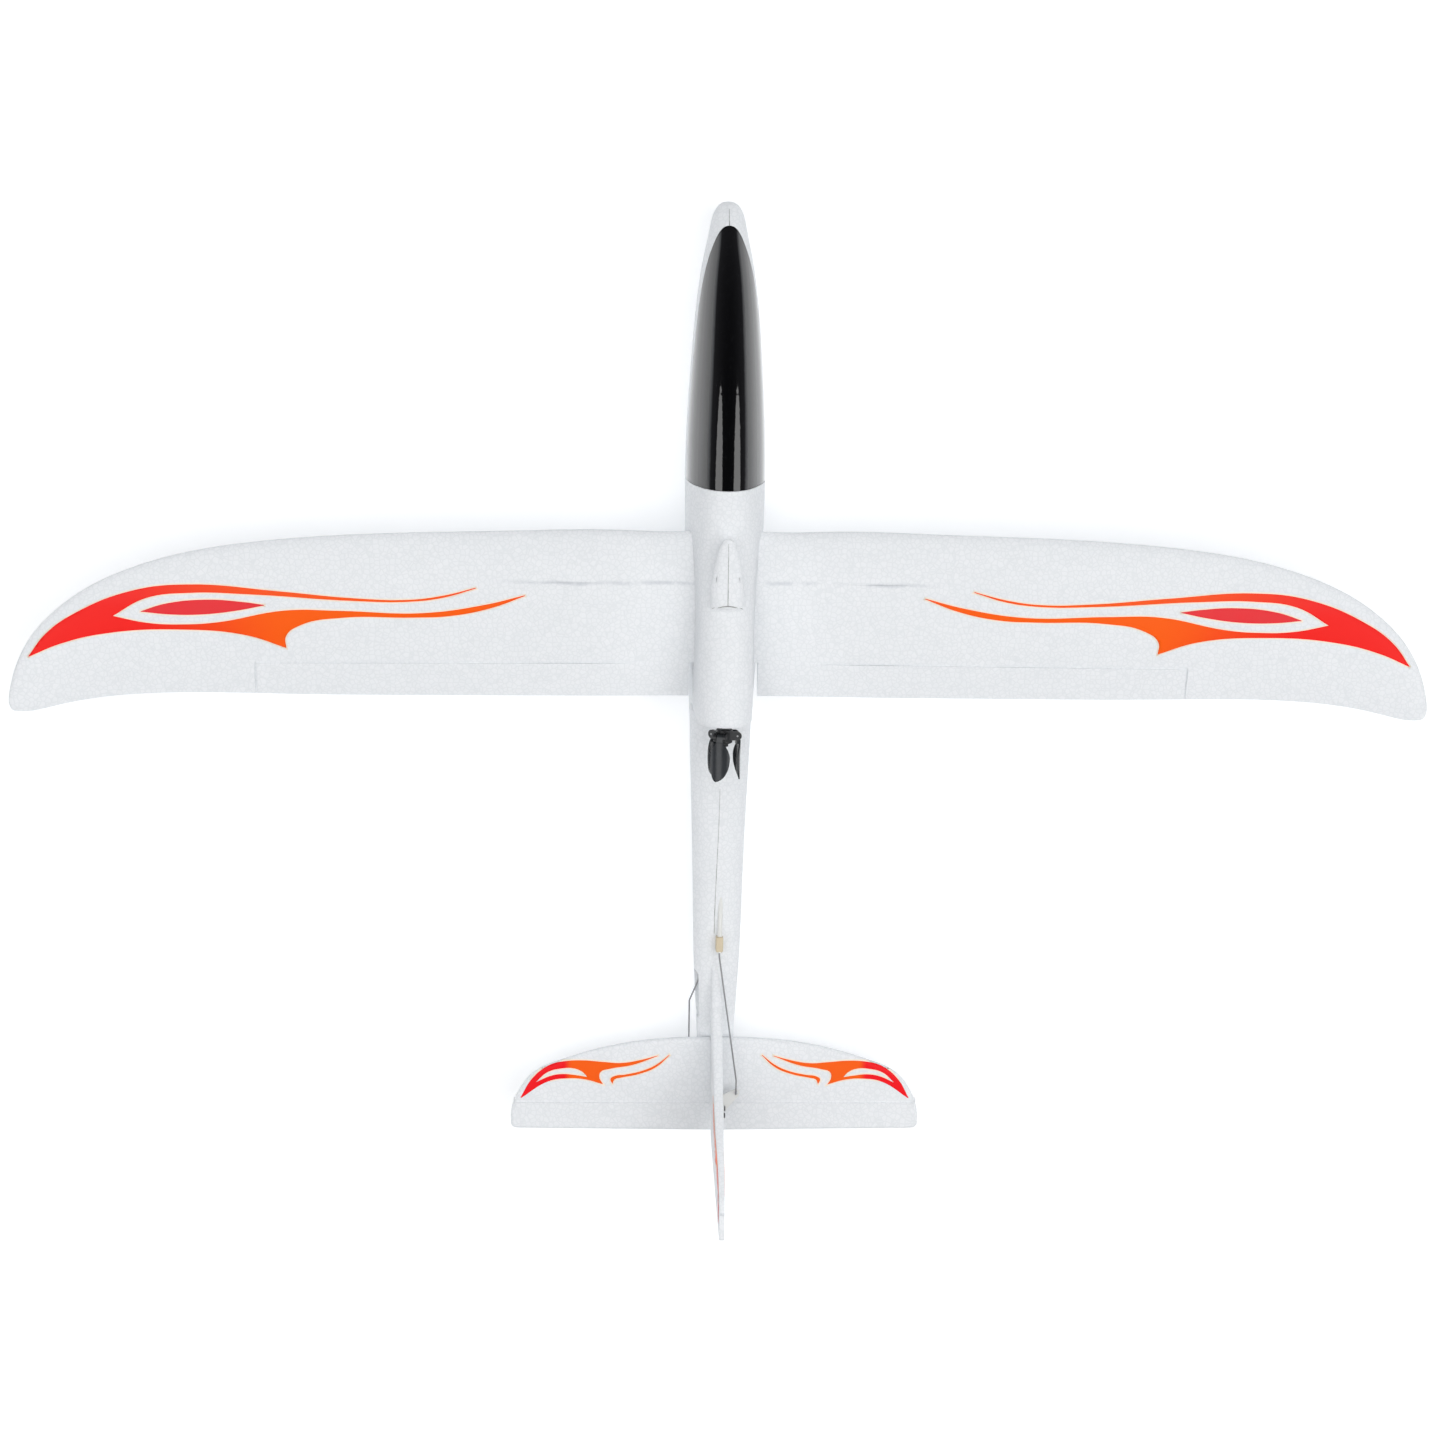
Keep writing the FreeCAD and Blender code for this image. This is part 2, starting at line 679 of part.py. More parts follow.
def canopy():
    """Thin glossy shell that closes the bay, with a tongue under the nose foam."""
    outer = body_loft(FUSELAGE)
    inner = body_loft(FUSELAGE[2:10], CANOPY_THICKNESS)
    region = canopy_region(0.0)
    shell = outer.cut(inner).common(region)
    shell = max(shell.Solids, key=lambda s: s.Volume)
    tongue = box(-2.4, 2.4, 246, 257.6, 27.2, 28.7)
    riser = box(-2.4, 2.4, 246, 249, 27.2, 38).common(inner)
    return fuse_all(shell, tongue, riser)


def canopy_bulkhead():
    """Thin wall glued inside the canopy's rear end, with feet for its two magnets."""
    inner = body_loft(FUSELAGE[2:10], CANOPY_THICKNESS)
    wall = box(-30, 30, 124.6, 126.2, DECK_Z + 5.6, 80).common(inner)
    feet = [box(x - 3.8, x + 3.8, 121.4 + 2.2, 129.0, 38.6, 43.4) for x in (-8, 8)]
    body = fuse_all(wall, *feet)
    for x in (-8, 8):
        body = body.cut(Part.makeCylinder(2.5, 2.0, V(x, 126.3, 38.6)))
    return body


def canopy_magnets():
    return Part.makeCompound([Part.makeCylinder(2.5, 2.0, V(x, 126.3, 38.6)) for x in (-8, 8)])


def deck_magnets():
    return Part.makeCompound([magnet(x, DECK_Z + 1.9) for x in (-8, 8)])


# ---- wing joint ---------------------------------------------------------------------------


def spar_tube():
    bore = Part.makeCylinder(1.3, 2 * SPAR_HALF_LENGTH, V(-SPAR_HALF_LENGTH, SPAR_Y, SPAR_Z), V(1, 0, 0))
    return spar_bore().cut(bore)


def wing_pegs():
    return Part.makeCompound([peg(12.5), peg(-38.5)])


# ---- motor and propeller ------------------------------------------------------------------


def along_y(radius, y0, y1, x=0.0, z=POD_Z):
    return Part.makeCylinder(radius, y1 - y0, V(x, y0, z), V(0, 1, 0))


def motor():
    can = along_y(MOTOR_RADIUS, MOTOR_REAR_Y, MOTOR_FRONT_Y)
    rims = [e for e in can.Edges if abs(e.CenterOfMass.y - MOTOR_FRONT_Y) < 0.01]
    can = can.makeFillet(1.0, rims)
    boss = along_y(3.0, MOTOR_REAR_Y - 2.2, MOTOR_REAR_Y)
    tabs = [box(x - 0.9, x + 0.9, MOTOR_FRONT_Y, MOTOR_FRONT_Y + 3, 66.7, 67.3) for x in (-4.0, 4.0)]
    body = fuse_all(can, boss, *tabs)
    return body.cut(along_y(SHAFT_RADIUS + 0.06, MOTOR_REAR_Y - 3, MOTOR_REAR_Y + 13))


def motor_mount():
    ring = along_y(12.3, -2.2, MOTOR_REAR_Y)
    rim = [e for e in ring.Edges if abs(e.CenterOfMass.y + 2.2) < 0.01]
    ring = ring.makeFillet(0.5, rim)
    ring = ring.cut(along_y(3.0, -3, 2))
    for x in (-6.2, 6.2):
        ring = ring.cut(along_y(0.9, -3, 2, x))
        ring = ring.cut(Part.makeCone(1.9, 0.9, 1.1, V(x, -2.2, POD_Z), V(0, 1, 0)))
    return ring


def mount_screws():
    screws = []
    for x in (-6.2, 6.2):
        head = Part.makeCone(1.8, 0.8, 1.1, V(x, -2.2, POD_Z), V(0, 1, 0))
        shank = along_y(0.8, -1.1, 1.0, x)
        slot = box(x - 1.2, x + 1.2, -2.4, -1.8, POD_Z - 0.25, POD_Z + 0.25)
        cross = box(x - 0.25, x + 0.25, -2.4, -1.8, POD_Z - 1.2, POD_Z + 1.2)
        screws.append(fuse_all(head, shank).cut(slot.fuse(cross)))
    return Part.makeCompound(screws)


def motor_shaft():
    return along_y(SHAFT_RADIUS, -16.6, MOTOR_REAR_Y + 12)


def propeller_nut():
    corners = [V(2.3 * cos(a * pi / 3), -15.2, POD_Z + 2.3 * sin(a * pi / 3)) for a in range(6)]
    prism_nut = Part.Face(Part.makePolygon(corners + corners[:1])).extrude(V(0, 2.2, 0))
    crown = Part.makeSphere(2.9, V(0, -12.9, POD_Z))
    return prism_nut.common(crown).cut(along_y(SHAFT_RADIUS, -18, -10))


def turned(shape, degrees):
    """A copy turned about the motor's axis; positive leans from up towards starboard."""
    copy = shape.copy()
    copy.rotate(V(0, 0, POD_Z), V(0, 1, 0), degrees)
    return copy


def hub():
    core = along_y(4.4, HUB_REAR_Y, HUB_FRONT_Y)
    core = core.makeFillet(0.6, [e for e in core.Edges if e.Length > 20])
    lug = box(-3.5, 3.5, -11.3, -6.7, POD_Z + 2.5, POD_Z + BLADE_HINGE_R)
    cap = Part.makeCylinder(2.3, 7.0, V(-3.5, BLADE_HINGE_Y, POD_Z + BLADE_HINGE_R), V(1, 0, 0))
    lug = lug.fuse(cap)
    slot = box(-1.9, 1.9, -15, -3, POD_Z + 4.5, POD_Z + 12)
    hole = blade_pin()
    body = fuse_all(core, *[turned(lug, a) for a in BLADE_ANGLES])
    body = cut_all(body, *[turned(slot, a) for a in BLADE_ANGLES])
    body = cut_all(body, *[turned(hole, a) for a in BLADE_ANGLES])
    return body.cut(along_y(SHAFT_RADIUS, -20, 0))


def blade_pin():
    return Part.makeCylinder(BLADE_PIN_RADIUS, 7.0, V(-3.5, BLADE_HINGE_Y, POD_Z + BLADE_HINGE_R), V(1, 0, 0))


def blade_pins():
    return Part.makeCompound([turned(blade_pin(), a) for a in BLADE_ANGLES])


def blade():
    """One folded blade, on top of the hub: an eye, a neck and a cupped scimitar sheet."""
    y0 = BLADE_HINGE_Y
    eye_z = POD_Z + BLADE_HINGE_R
    eye = Part.makeCylinder(1.7, 3.4, V(-1.7, y0, eye_z), V(1, 0, 0))
    neck = box(-1.7, 1.7, y0 - 4.6, y0, eye_z - 0.2, eye_z + 1.7)
    front = y0 - 2.6
    rear = y0 - BLADE_LENGTH
    sheet = along_y(BLADE_SHEET_R + BLADE_SHEET, rear, front).cut(along_y(BLADE_SHEET_R, rear - 1, front + 1))

    def at(x, y):
        return V(x, y, POD_Z)

    plan = [
        bezier(at(1.7, front), at(3.4, front - 2), at(5.4, front - 5), at(5.2, front - 10)),
        bezier(at(5.2, front - 10), at(4.9, rear + 5), at(2.5, rear + 1), at(-1.8, rear + 0.1)),
        bezier(at(-1.8, rear + 0.1), at(-4.0, rear + 0.6), at(-5.2, rear + 4), at(-5.3, front - 9)),
        bezier(at(-5.3, front - 9), at(-5.3, front - 5), at(-3.6, front - 2), at(-1.7, front)),
        line(at(-1.7, front), at(1.7, front)),
    ]
    sheet = sheet.common(prism(plan, V(0, 0, 12)))
    body = fuse_all(eye, neck, sheet)
    return body.cut(Part.makeCylinder(BLADE_PIN_RADIUS + 0.05, 8, V(-4, y0, eye_z), V(1, 0, 0)))


# ---- electrics ----------------------------------------------------------------------------


def battery_pack():
    return soft_box(-10.5, 10.5, 154, 205.5, 6.9, 19.6, 2.4)


def battery_strap():
    outside = soft_box(-11.3, 11.3, 172, 186, 6.1, 20.4, 0.3)
    return outside.cut(box(-10.6, 10.6, 171, 187, 6.8, 19.7))


def receiver_pad():
    return box(-9, 9, 116, 144, BAY_FLOOR_Z, 7.2)


def receiver():
    case = soft_box(-10, 10, 115, 145, 7.2, 14.2, 0.8)
    socket = box(-3.6, 3.6, 120, 134, 14.0, 19.6)
    return case.fuse(socket.cut(box(-2.8, 2.8, 124, 135, 14.8, 18.8))).removeSplitter()


def battery_plug():
    nose = box(-2.7, 2.7, 126, 134.2, 14.9, 18.7)
    grip = soft_box(-3.4, 3.4, 134.2, 142, 14.4, 19.4, 0.5)
    return nose.fuse(grip).removeSplitter()


def battery_lead(x, lift):
    points = (
        (4.5 + x, 205.5, 12.5),
        (4.5 + x, 213.5, 12.5),
        (4.5 + x, 219.5, 17.0 + lift * 0.5),
        (4.5 + x, 217.5, 25.0 + lift),
        (4.7 + x, 208.0, 27.5 + lift),
        (5.5 + x, 193.0, 25.0),
        (5.0 + x, 176.0, 25.5),
        (3.8 + x * 0.9, 163.0, 24.5),
        (2.0 + x * 0.7, 152.5, 21.0),
        (0.9 + x * 0.6, 142.0, 17.0),
    )
    return tube(route(points, "battery lead"), LEAD_RADIUS)


def motor_lead(x):
    side = 1 if x > 0 else -1
    points = (
        (x, 115.0, 12.0),
        (x, 98.0, 12.5),
        (x, 82.0, 18.0),
        (x, 68.0, 30.0),
        (x, 55.0, 45.5),
        (x, 43.0, 60.5),
        (x + side * 1.0, 34.5, 65.8),
        (x + side * 1.6, 30.5, 67.0),
    )
    return tube(route(points, "motor lead"), LEAD_RADIUS)


def servo_tray():
    """Floor plate with two cross walls that carry the servo ears."""
    plate = box(-13.9, 13.9, 86.5, 113.5, SERVO_BASE_Z - 1.5, SERVO_BASE_Z)
    walls = [box(-13.7, 13.7, y, y + 3.3, SERVO_BASE_Z, SERVO_EAR_Z) for y in (86.5, 110.2)]
    legs = []
    for x in (-6, 6):
        for y in (90, 109):
            legs.append(box(x - 1.5, x + 1.5, y - 4, y + 4, BAY_FLOOR_Z, SERVO_BASE_Z - 1.5))
    floor_way = box(-2.6, 2.6, 90, 110, SERVO_BASE_Z - 2, SERVO_BASE_Z + 1)
    wall_way = box(-2.6, 2.6, 85, 115, SERVO_BASE_Z + 0.5, SERVO_EAR_Z + 1)
    tray = fuse_all(plate, *walls, *legs)
    return cut_all(tray, floor_way, wall_way, servo_screws())


def servo(side):
    x = side * SERVO_X
    case = soft_box(x - 4.2, x + 4.2, 90, 110, SERVO_BASE_Z, SERVO_TOP_Z, 0.6)
    ears = box(x - 4.2, x + 4.2, 87.2, 112.8, SERVO_EAR_Z, SERVO_EAR_Z + 1.2)
    boss = Part.makeCylinder(3.0, 1.2, V(x, SERVO_SHAFT_Y, SERVO_TOP_Z - 0.2))
    spline_shaft = Part.makeCylinder(1.4, 1.8, V(x, SERVO_SHAFT_Y, SERVO_TOP_Z + 0.9))
    body = fuse_all(case, ears, boss, spline_shaft)
    for y in SERVO_SCREW_Y:
        body = body.cut(Part.makeCylinder(0.7, 4, V(x, y, 20)))
    return body


def servo_screws():
    screws = []
    for side in (-1, 1):
        for y in SERVO_SCREW_Y:
            top = SERVO_EAR_Z + 1.2
            shank = Part.makeCylinder(0.7, 6.5, V(side * SERVO_X, y, top - 6.5))
            head = Part.makeCylinder(1.3, 0.9, V(side * SERVO_X, y, top))
            slot = box(side * SERVO_X - 2, side * SERVO_X + 2, y - 0.2, y + 0.2, top + 0.5, top + 1)
            screws.append(fuse_all(shank, head).cut(slot))
    return Part.makeCompound(screws)


def servo_arm(side):
    """Arm on the servo's output shaft, pointing inboard, with the link hole at its end."""
    x = side * SERVO_X
    tip = x - side * SERVO_ARM_REACH
    y = SERVO_SHAFT_Y
    boss = Part.makeCylinder(2.4, 1.9, V(x, y, 29.3))
    bar = box(min(x, tip), max(x, tip), y - 1.5, y + 1.5, 29.3, 30.5)
    end = Part.makeCylinder(1.9, 1.2, V(tip, y, 29.3))
    arm = fuse_all(boss, bar, end)
    bore = Part.makeCylinder(1.46, 1.5, V(x, y, 29.2))
    return cut_all(arm, bore, Part.makeCylinder(HORN_HOLE_RADIUS, 4, V(tip, y, 28)))


def servo_link(side):
    """Short wire from the servo arm into the front end of its guide tube."""
    x = side * (SERVO_X - SERVO_ARM_REACH + 0.42)
    points = ((x, SERVO_SHAFT_Y, 28.6), (x, SERVO_SHAFT_Y, LINK_Z), (x, 70, LINK_Z))
    return bent_wire(points)


def bent_wire(points):
    """Wire with tight pliers bends."""
    points = [V(*p) for p in points]
    bend = 1.1
    edges = []
    start = points[0]
    for before, corner, after in zip(points, points[1:], points[2:]):
        into = (corner - before).normalize()
        out = (after - corner).normalize()
        half_turn = into.getAngle(out) / 2
        reach = bend * tan(half_turn)
        first = corner - into * reach
        last = corner + out * reach
        chord_mid = (first + last) * 0.5
        toward = (corner - chord_mid).normalize()
        middle = chord_mid + toward * bend * (1 - cos(half_turn))
        edges.append(line(start, first))
        edges.append(Part.Arc(first, middle, last).toShape())
        start = last
    edges.append(line(start, points[-1]))
    return tube(Part.Wire(edges), WIRE_RADIUS)


# ---- controls -----------------------------------------------------------------------------


def rudder_tube_path():
    points = (
        (3.35, 84.0, 32.2),
        (3.35, 40.0, 31.8),
        (3.3, -8.0, 30.4),
        (2.8, -56.0, 29.4),
        (1.6, -98.0, 30.8),
        (1.0, -137.5, 37.4),
    )
    return route(points, "rudder guide tube")


def elevator_tube_path():
    points = (
        (-3.35, 84.0, 32.2),
        (-3.35, 40.0, 31.6),
        (-3.6, -8.0, 29.6),
        (-5.2, -62.0, 27.4),
        (-7.6, -110.0, 26.4),
        (-9.6, -152.0, 26.5),
    )
    return route(points, "elevator guide tube")


def guide_tube(path):
    return tube(path, TUBE_RADIUS).cut(tube(path, TUBE_BORE))


def exit_sleeve():
    """Translucent block round the rudder tube where it leaves the top of the boom."""
    block = box(-1.0, 3.0, -137.0, -128.5, 31.5, 38.8)
    block = block.makeFillet(0.9, block.Edges)
    return block


def rudder_rod():
    """Wire from the guide tube to the rudder horn, ending in a leg down through the horn."""
    x = HORN_X - 0.3
    y = hinge_y(HORN_Z)
    points = (
        (1.0, -126.0, 35.55),
        (1.0, -139.5, 37.75),
        (x, -206.0, 51.7),
        (x, y, 51.7),
        (x, y, 43.8),
    )
    return bent_wire(points)


def rudder_horn_foot():
    """The horn's foot plate, let into the side of the rudder."""
    y = hinge_y(HORN_Z)
    return box(2.5, 4.1, y - 13.8, y - 6.0, HORN_Z + 0.2, HORN_Z + 6.5)


def rudder_horn():
    """Plate on the starboard side of the rudder, its hole over the hinge line."""
    y = hinge_y(HORN_Z)
    z0 = HORN_Z - 0.6
    plan = [
        V(3, y - 1.6, z0),
        V(3, y - 10.5, z0),
        V(5.0, y - 10.5, z0),
        V(12.6, y - 1.4, z0),
        V(12.6, y + 1.4, z0),
        V(9.4, y + 1.6, z0),
    ]
    plate = Part.Face(Part.makePolygon(plan + plan[:1])).extrude(V(0, 0, 1.2))
    tip = Part.makeCylinder(1.9, 1.2, V(HORN_X, y, z0))
    body = fuse_all(plate, tip, rudder_horn_foot())
    for dy in RUDDER_HORN_SCREWS:
        body = body.cut(Part.makeCylinder(0.8, 10, V(0, y - dy, HORN_Z + 3.8), V(1, 0, 0)))
    return body.cut(Part.makeCylinder(HORN_HOLE_RADIUS, 4, V(HORN_X, y, z0 - 1)))


def elevator_rod():
    """Wire out of the boom's port slot and straight back under the tail to the horn."""
    x = ELEVATOR_HORN_X
    z = ELEVATOR_HORN_Z + 0.2
    points = (
        (-9.2, -142.0, 26.5),
        (-9.8, -156.0, 26.5),
        (x + 2.4, -167.5, z),
        (x + 2.4, ELEVATOR_HINGE_Y, z),
        (x - 2.6, ELEVATOR_HINGE_Y, z),
    )
    return bent_wire(points)


def elevator_horn():
    """Plate under the port half of the elevator, its hole below the hinge line."""
    y = ELEVATOR_HINGE_Y
    under = TAIL_Z - TAIL_THICKNESS / 2
    x0 = ELEVATOR_HORN_X - 0.6
    z = ELEVATOR_HORN_Z
    profile = [
        V(x0, y - 2.0, under),
        V(x0, y - 11, under),
        V(x0, y - 11, under - 1.2),
        V(x0, y - 1.6, z - 1.4),
        V(x0, y + 1.4, z - 1.2),
        V(x0, y + 1.5, z + 1.2),
    ]
    plate = Part.Face(Part.makePolygon(profile + profile[:1])).extrude(V(1.2, 0, 0))
    tip = Part.makeCylinder(1.9, 1.2, V(x0, y, z), V(1, 0, 0))
    base = box(x0 + 0.9, x0 + 7.0, y - 12.4, y - 2.6, under - 1.1, under)
    body = fuse_all(plate, tip, base)
    for dy in ELEVATOR_HORN_SCREWS:
        body = body.cut(Part.makeCylinder(0.8, 10, V(x0 + 4.2, y - dy, 30)))
    return body.cut(Part.makeCylinder(HORN_HOLE_RADIUS, 4, V(x0 - 1, y, z), V(1, 0, 0)))


def rudder_horn_screws():
    y = hinge_y(HORN_Z)
    screws = []
    for dy in RUDDER_HORN_SCREWS:
        shank = Part.makeCylinder(0.8, 5.6, V(-1.5, y - dy, HORN_Z + 3.8), V(1, 0, 0))
        head = Part.makeCylinder(1.5, 0.9, V(4.1, y - dy, HORN_Z + 3.8), V(1, 0, 0))
        slot = box(4.6, 5.2, y - dy - 2, y - dy + 2, HORN_Z + 3.6, HORN_Z + 4.0)
        screws.append(fuse_all(shank, head).cut(slot))
    return Part.makeCompound(screws)


def elevator_horn_screws():
    y = ELEVATOR_HINGE_Y
    x = ELEVATOR_HORN_X + 3.6
    under = TAIL_Z - TAIL_THICKNESS / 2
    screws = []
    for dy in ELEVATOR_HORN_SCREWS:
        shank = Part.makeCylinder(0.8, 4.7, V(x, y - dy, under - 1.1))
        head = Part.makeCylinder(1.5, 0.9, V(x, y - dy, under - 2.0))
        slot = box(x - 2, x + 2, y - dy - 0.2, y - dy + 0.2, under - 2.2, under - 1.6)
        screws.append(fuse_all(shank, head).cut(slot))
    return Part.makeCompound(screws)


# ---- the whole model ----------------------------------------------------------------------


def build():
    rudder_path = rudder_tube_path()
    elevator_path = elevator_tube_path()
    sleeve = exit_sleeve().cut(tube(rudder_path, TUBE_RADIUS))
    tubes = [
        tube(rudder_path, TUBE_RADIUS),
        tube(elevator_path, TUBE_RADIUS),
        exit_sleeve(),
    ]
    hull = body_loft(FUSELAGE)
    block = fuselage_block(tubes)
    parts = {
        "fuselage_left": block.common(box(-60, 0, -300, 300, -10, 150)),
        "fuselage_right": block.common(box(0, 60, -300, 300, -10, 150)),
        "wing_left": wing(-1, hull),
        "wing_right": wing(1, hull),
        "spar_tube": spar_tube(),
        "wing_pegs": wing_pegs(),
        "tailplane": tailplane([tail_screws()]),
        "tail_screws": tail_screws(),
        "fin": fin().cut(body_loft(BOOM)).cut(tail_plan(-150, -240)),
        "rudder": cut_all(rudder(), rudder_horn_screws()),
        "rudder_hinge_web": rudder_web(),
        "elevator": cut_all(elevator(), elevator_horn_screws()),
        "elevator_hinge_web": elevator_web(),
        "canopy": canopy(),
        "canopy_bulkhead": canopy_bulkhead(),
        "canopy_magnets": canopy_magnets(),
        "deck_magnets": deck_magnets(),
        "motor": motor(),
        "motor_mount": motor_mount(),
        "motor_mount_screws": mount_screws(),
        "motor_shaft": motor_shaft(),
        "propeller_hub": hub(),
        "propeller_nut": propeller_nut(),
        "blade_pins": blade_pins(),
        "motor_lead_red": motor_lead(1.3),
        "motor_lead_black": motor_lead(-1.3),
        "battery_pack": battery_pack(),
        "battery_strap": battery_strap(),
        "battery_lead_red": battery_lead(0.0, 0.0),
        "battery_lead_black": battery_lead(-2.4, 1.0),
        "battery_plug": battery_plug(),
        "receiver": receiver(),
        "receiver_pad": receiver_pad(),
        "servo_tray": servo_tray(),
        "servo_screws": servo_screws(),
        "guide_tube_rudder": guide_tube(rudder_path),
        "guide_tube_elevator": guide_tube(elevator_path),
        "exit_sleeve": sleeve,
        "rudder_rod": rudder_rod(),
        "elevator_rod": elevator_rod(),
        "rudder_horn": rudder_horn(),
        "elevator_horn": elevator_horn(),
        "rudder_horn_screws": rudder_horn_screws(),
        "elevator_horn_screws": elevator_horn_screws(),
    }
    for name, side in (("elevator", -1), ("rudder", 1)):
        parts["servo_" + name] = servo(side)
        parts["servo_arm_" + name] = servo_arm(side)
        parts["servo_link_" + name] = servo_link(side)
    for number, angle in enumerate(BLADE_ANGLES, 1):
        parts[f"propeller_blade_{number}"] = turned(blade(), angle)
    return parts


os.makedirs("parts", exist_ok=True)
for name, shape in build().items():
    solids = shape.Solids
    print(name, "solids", len(solids), "valid", shape.isValid(), "volume", round(shape.Volume, 1))
    shape.exportStep(f"parts/{name}.step")
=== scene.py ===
import math

import bmesh
import bpy
from mathutils import Matrix, Vector
from mathutils.bvhtree import BVHTree


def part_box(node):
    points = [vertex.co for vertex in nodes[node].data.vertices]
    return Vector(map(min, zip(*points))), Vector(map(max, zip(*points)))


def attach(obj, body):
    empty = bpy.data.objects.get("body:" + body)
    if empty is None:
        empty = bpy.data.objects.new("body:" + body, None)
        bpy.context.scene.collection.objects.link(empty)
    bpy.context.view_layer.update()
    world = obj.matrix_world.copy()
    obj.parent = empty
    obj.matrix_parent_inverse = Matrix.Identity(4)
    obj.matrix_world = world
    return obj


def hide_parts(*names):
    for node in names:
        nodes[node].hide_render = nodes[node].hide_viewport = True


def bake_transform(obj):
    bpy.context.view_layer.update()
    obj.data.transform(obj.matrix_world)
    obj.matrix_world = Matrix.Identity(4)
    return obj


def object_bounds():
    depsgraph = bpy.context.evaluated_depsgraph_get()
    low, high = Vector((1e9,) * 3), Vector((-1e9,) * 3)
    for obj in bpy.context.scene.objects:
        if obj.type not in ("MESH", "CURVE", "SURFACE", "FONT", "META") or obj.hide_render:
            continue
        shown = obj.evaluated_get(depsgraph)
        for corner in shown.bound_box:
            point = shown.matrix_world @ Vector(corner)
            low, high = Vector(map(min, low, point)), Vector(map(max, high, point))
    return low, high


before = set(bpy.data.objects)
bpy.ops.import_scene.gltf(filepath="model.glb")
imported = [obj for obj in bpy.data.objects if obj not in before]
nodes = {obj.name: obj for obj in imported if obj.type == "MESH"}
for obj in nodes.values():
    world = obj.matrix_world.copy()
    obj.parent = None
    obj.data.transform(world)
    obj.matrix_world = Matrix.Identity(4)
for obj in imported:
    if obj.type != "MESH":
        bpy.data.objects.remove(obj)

cad_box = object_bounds()
scene = bpy.context.scene
MM = 0.001

# ---- Studio ---------------------------------------------------------------------------------
# A seamless pale floor just under the belly. Two long softboxes stand over the wings, and their
# reflections are the two streaks on the canopy. The sky above them is dark and the horizon white.

scene.view_settings.view_transform = "Standard"

CAMERA_TURN, CAMERA_TILT, CAMERA_ROLL = (math.radians(d) for d in (3.0, 12.0, 0.996))
CAMERA_TARGET = Vector((0.0002, -0.007, 0.044))
CAMERA_DISTANCE = 1.8
CAMERA_LENS = 83.36
FLOOR_HALF = 20.0
FLOOR_GAP = 0.0002

away = Vector((
    -math.sin(CAMERA_TURN) * math.cos(CAMERA_TILT),
    math.sin(CAMERA_TILT),
    math.cos(CAMERA_TURN) * math.cos(CAMERA_TILT),
))
across = Vector((0, 1, 0)).cross(away).normalized()
upward = away.cross(across)
roll = Matrix.Rotation(CAMERA_ROLL, 3, away)
camera_axes = Matrix((roll @ across, roll @ upward, away)).transposed().to_4x4()

camera = bpy.data.objects.new("camera", bpy.data.cameras.new("camera"))
camera.data.lens = CAMERA_LENS
camera.data.sensor_width = 36.0
camera.matrix_world = Matrix.Translation(CAMERA_TARGET + away * CAMERA_DISTANCE) @ camera_axes
scene.collection.objects.link(camera)
scene.camera = camera


class Mark:
    """One output of a material's node. Arithmetic on marks adds Math nodes."""

    def __init__(self, tree, socket):
        self.tree = tree
        self.socket = socket

    def node(self, kind, settings=None, inputs=None, output=0):
        """Adds any other node: its settings first, then the values or links of its sockets."""
        made = self.tree.nodes.new("ShaderNode" + kind)
        for name, value in (settings or {}).items():
            if name == "stops":
                set_stops(made.color_ramp, value)
            else:
                setattr(made, name, value)
        for place, value in (inputs or {}).items():
            if isinstance(value, Mark):
                self.tree.links.new(value.socket, made.inputs[place])
            else:
                made.inputs[place].default_value = value
        return Mark(self.tree, made.outputs[output])

    def math(self, operation, first, second=0.0):
        return self.node("Math", {"operation": operation}, {0: first, 1: second})

    def __add__(self, other):
        return self.math("ADD", self, other)

    def __sub__(self, other):
        return self.math("SUBTRACT", self, other)

    def __mul__(self, other):
        return self.math("MULTIPLY", self, other)

    def __rsub__(self, other):
        return self.math("SUBTRACT", other, self)

    def __abs__(self):
        return self.math("ABSOLUTE", self)

    __radd__ = __add__
    __rmul__ = __mul__

    def rise(self, low, high):
        """0 below low, 1 above high, and smooth between them."""
        ends = {0: self, 1: low, 2: high, 3: 0.0, 4: 1.0}
        return self.node("MapRange", {"interpolation_type": "SMOOTHSTEP"}, ends)

    def part(self, index):
        """The x, y or z of a vector."""
        return self.node("SeparateXYZ", None, {0: self}, index)

    def mix(self, first, second):
        """Colour first where this mark is 0, and second where it is 1."""
        return self.node("Mix", {"data_type": "RGBA"}, {0: self, 6: first, 7: second}, 2)


def set_stops(ramp, stops):
    """Fills a colour ramp with (place, colour) stops."""
    while len(ramp.elements) < len(stops):
        ramp.elements.new(0.5)
    for element, (place, colour) in zip(ramp.elements, stops):
        element.position = place
        element.color = colour


world = bpy.data.worlds.new("studio")
world.use_nodes = True
scene.world = world
sky = world.node_tree.nodes["Background"]
sky_coordinates = world.node_tree.nodes.new("ShaderNodeTexCoord")
direction = Mark(world.node_tree, sky_coordinates.outputs["Generated"])
grade = direction.node("ValToRGB", {"stops": (
    (0.0, (0.95, 0.97, 1.0, 1)),
    (0.10, (0.60, 0.62, 0.65, 1)),
    (0.22, (0.10, 0.10, 0.11, 1)),
    (1.0, (0.008, 0.008, 0.009, 1)),
)}, {0: direction.part(2)})
world.node_tree.links.new(grade.socket, sky.inputs["Color"])

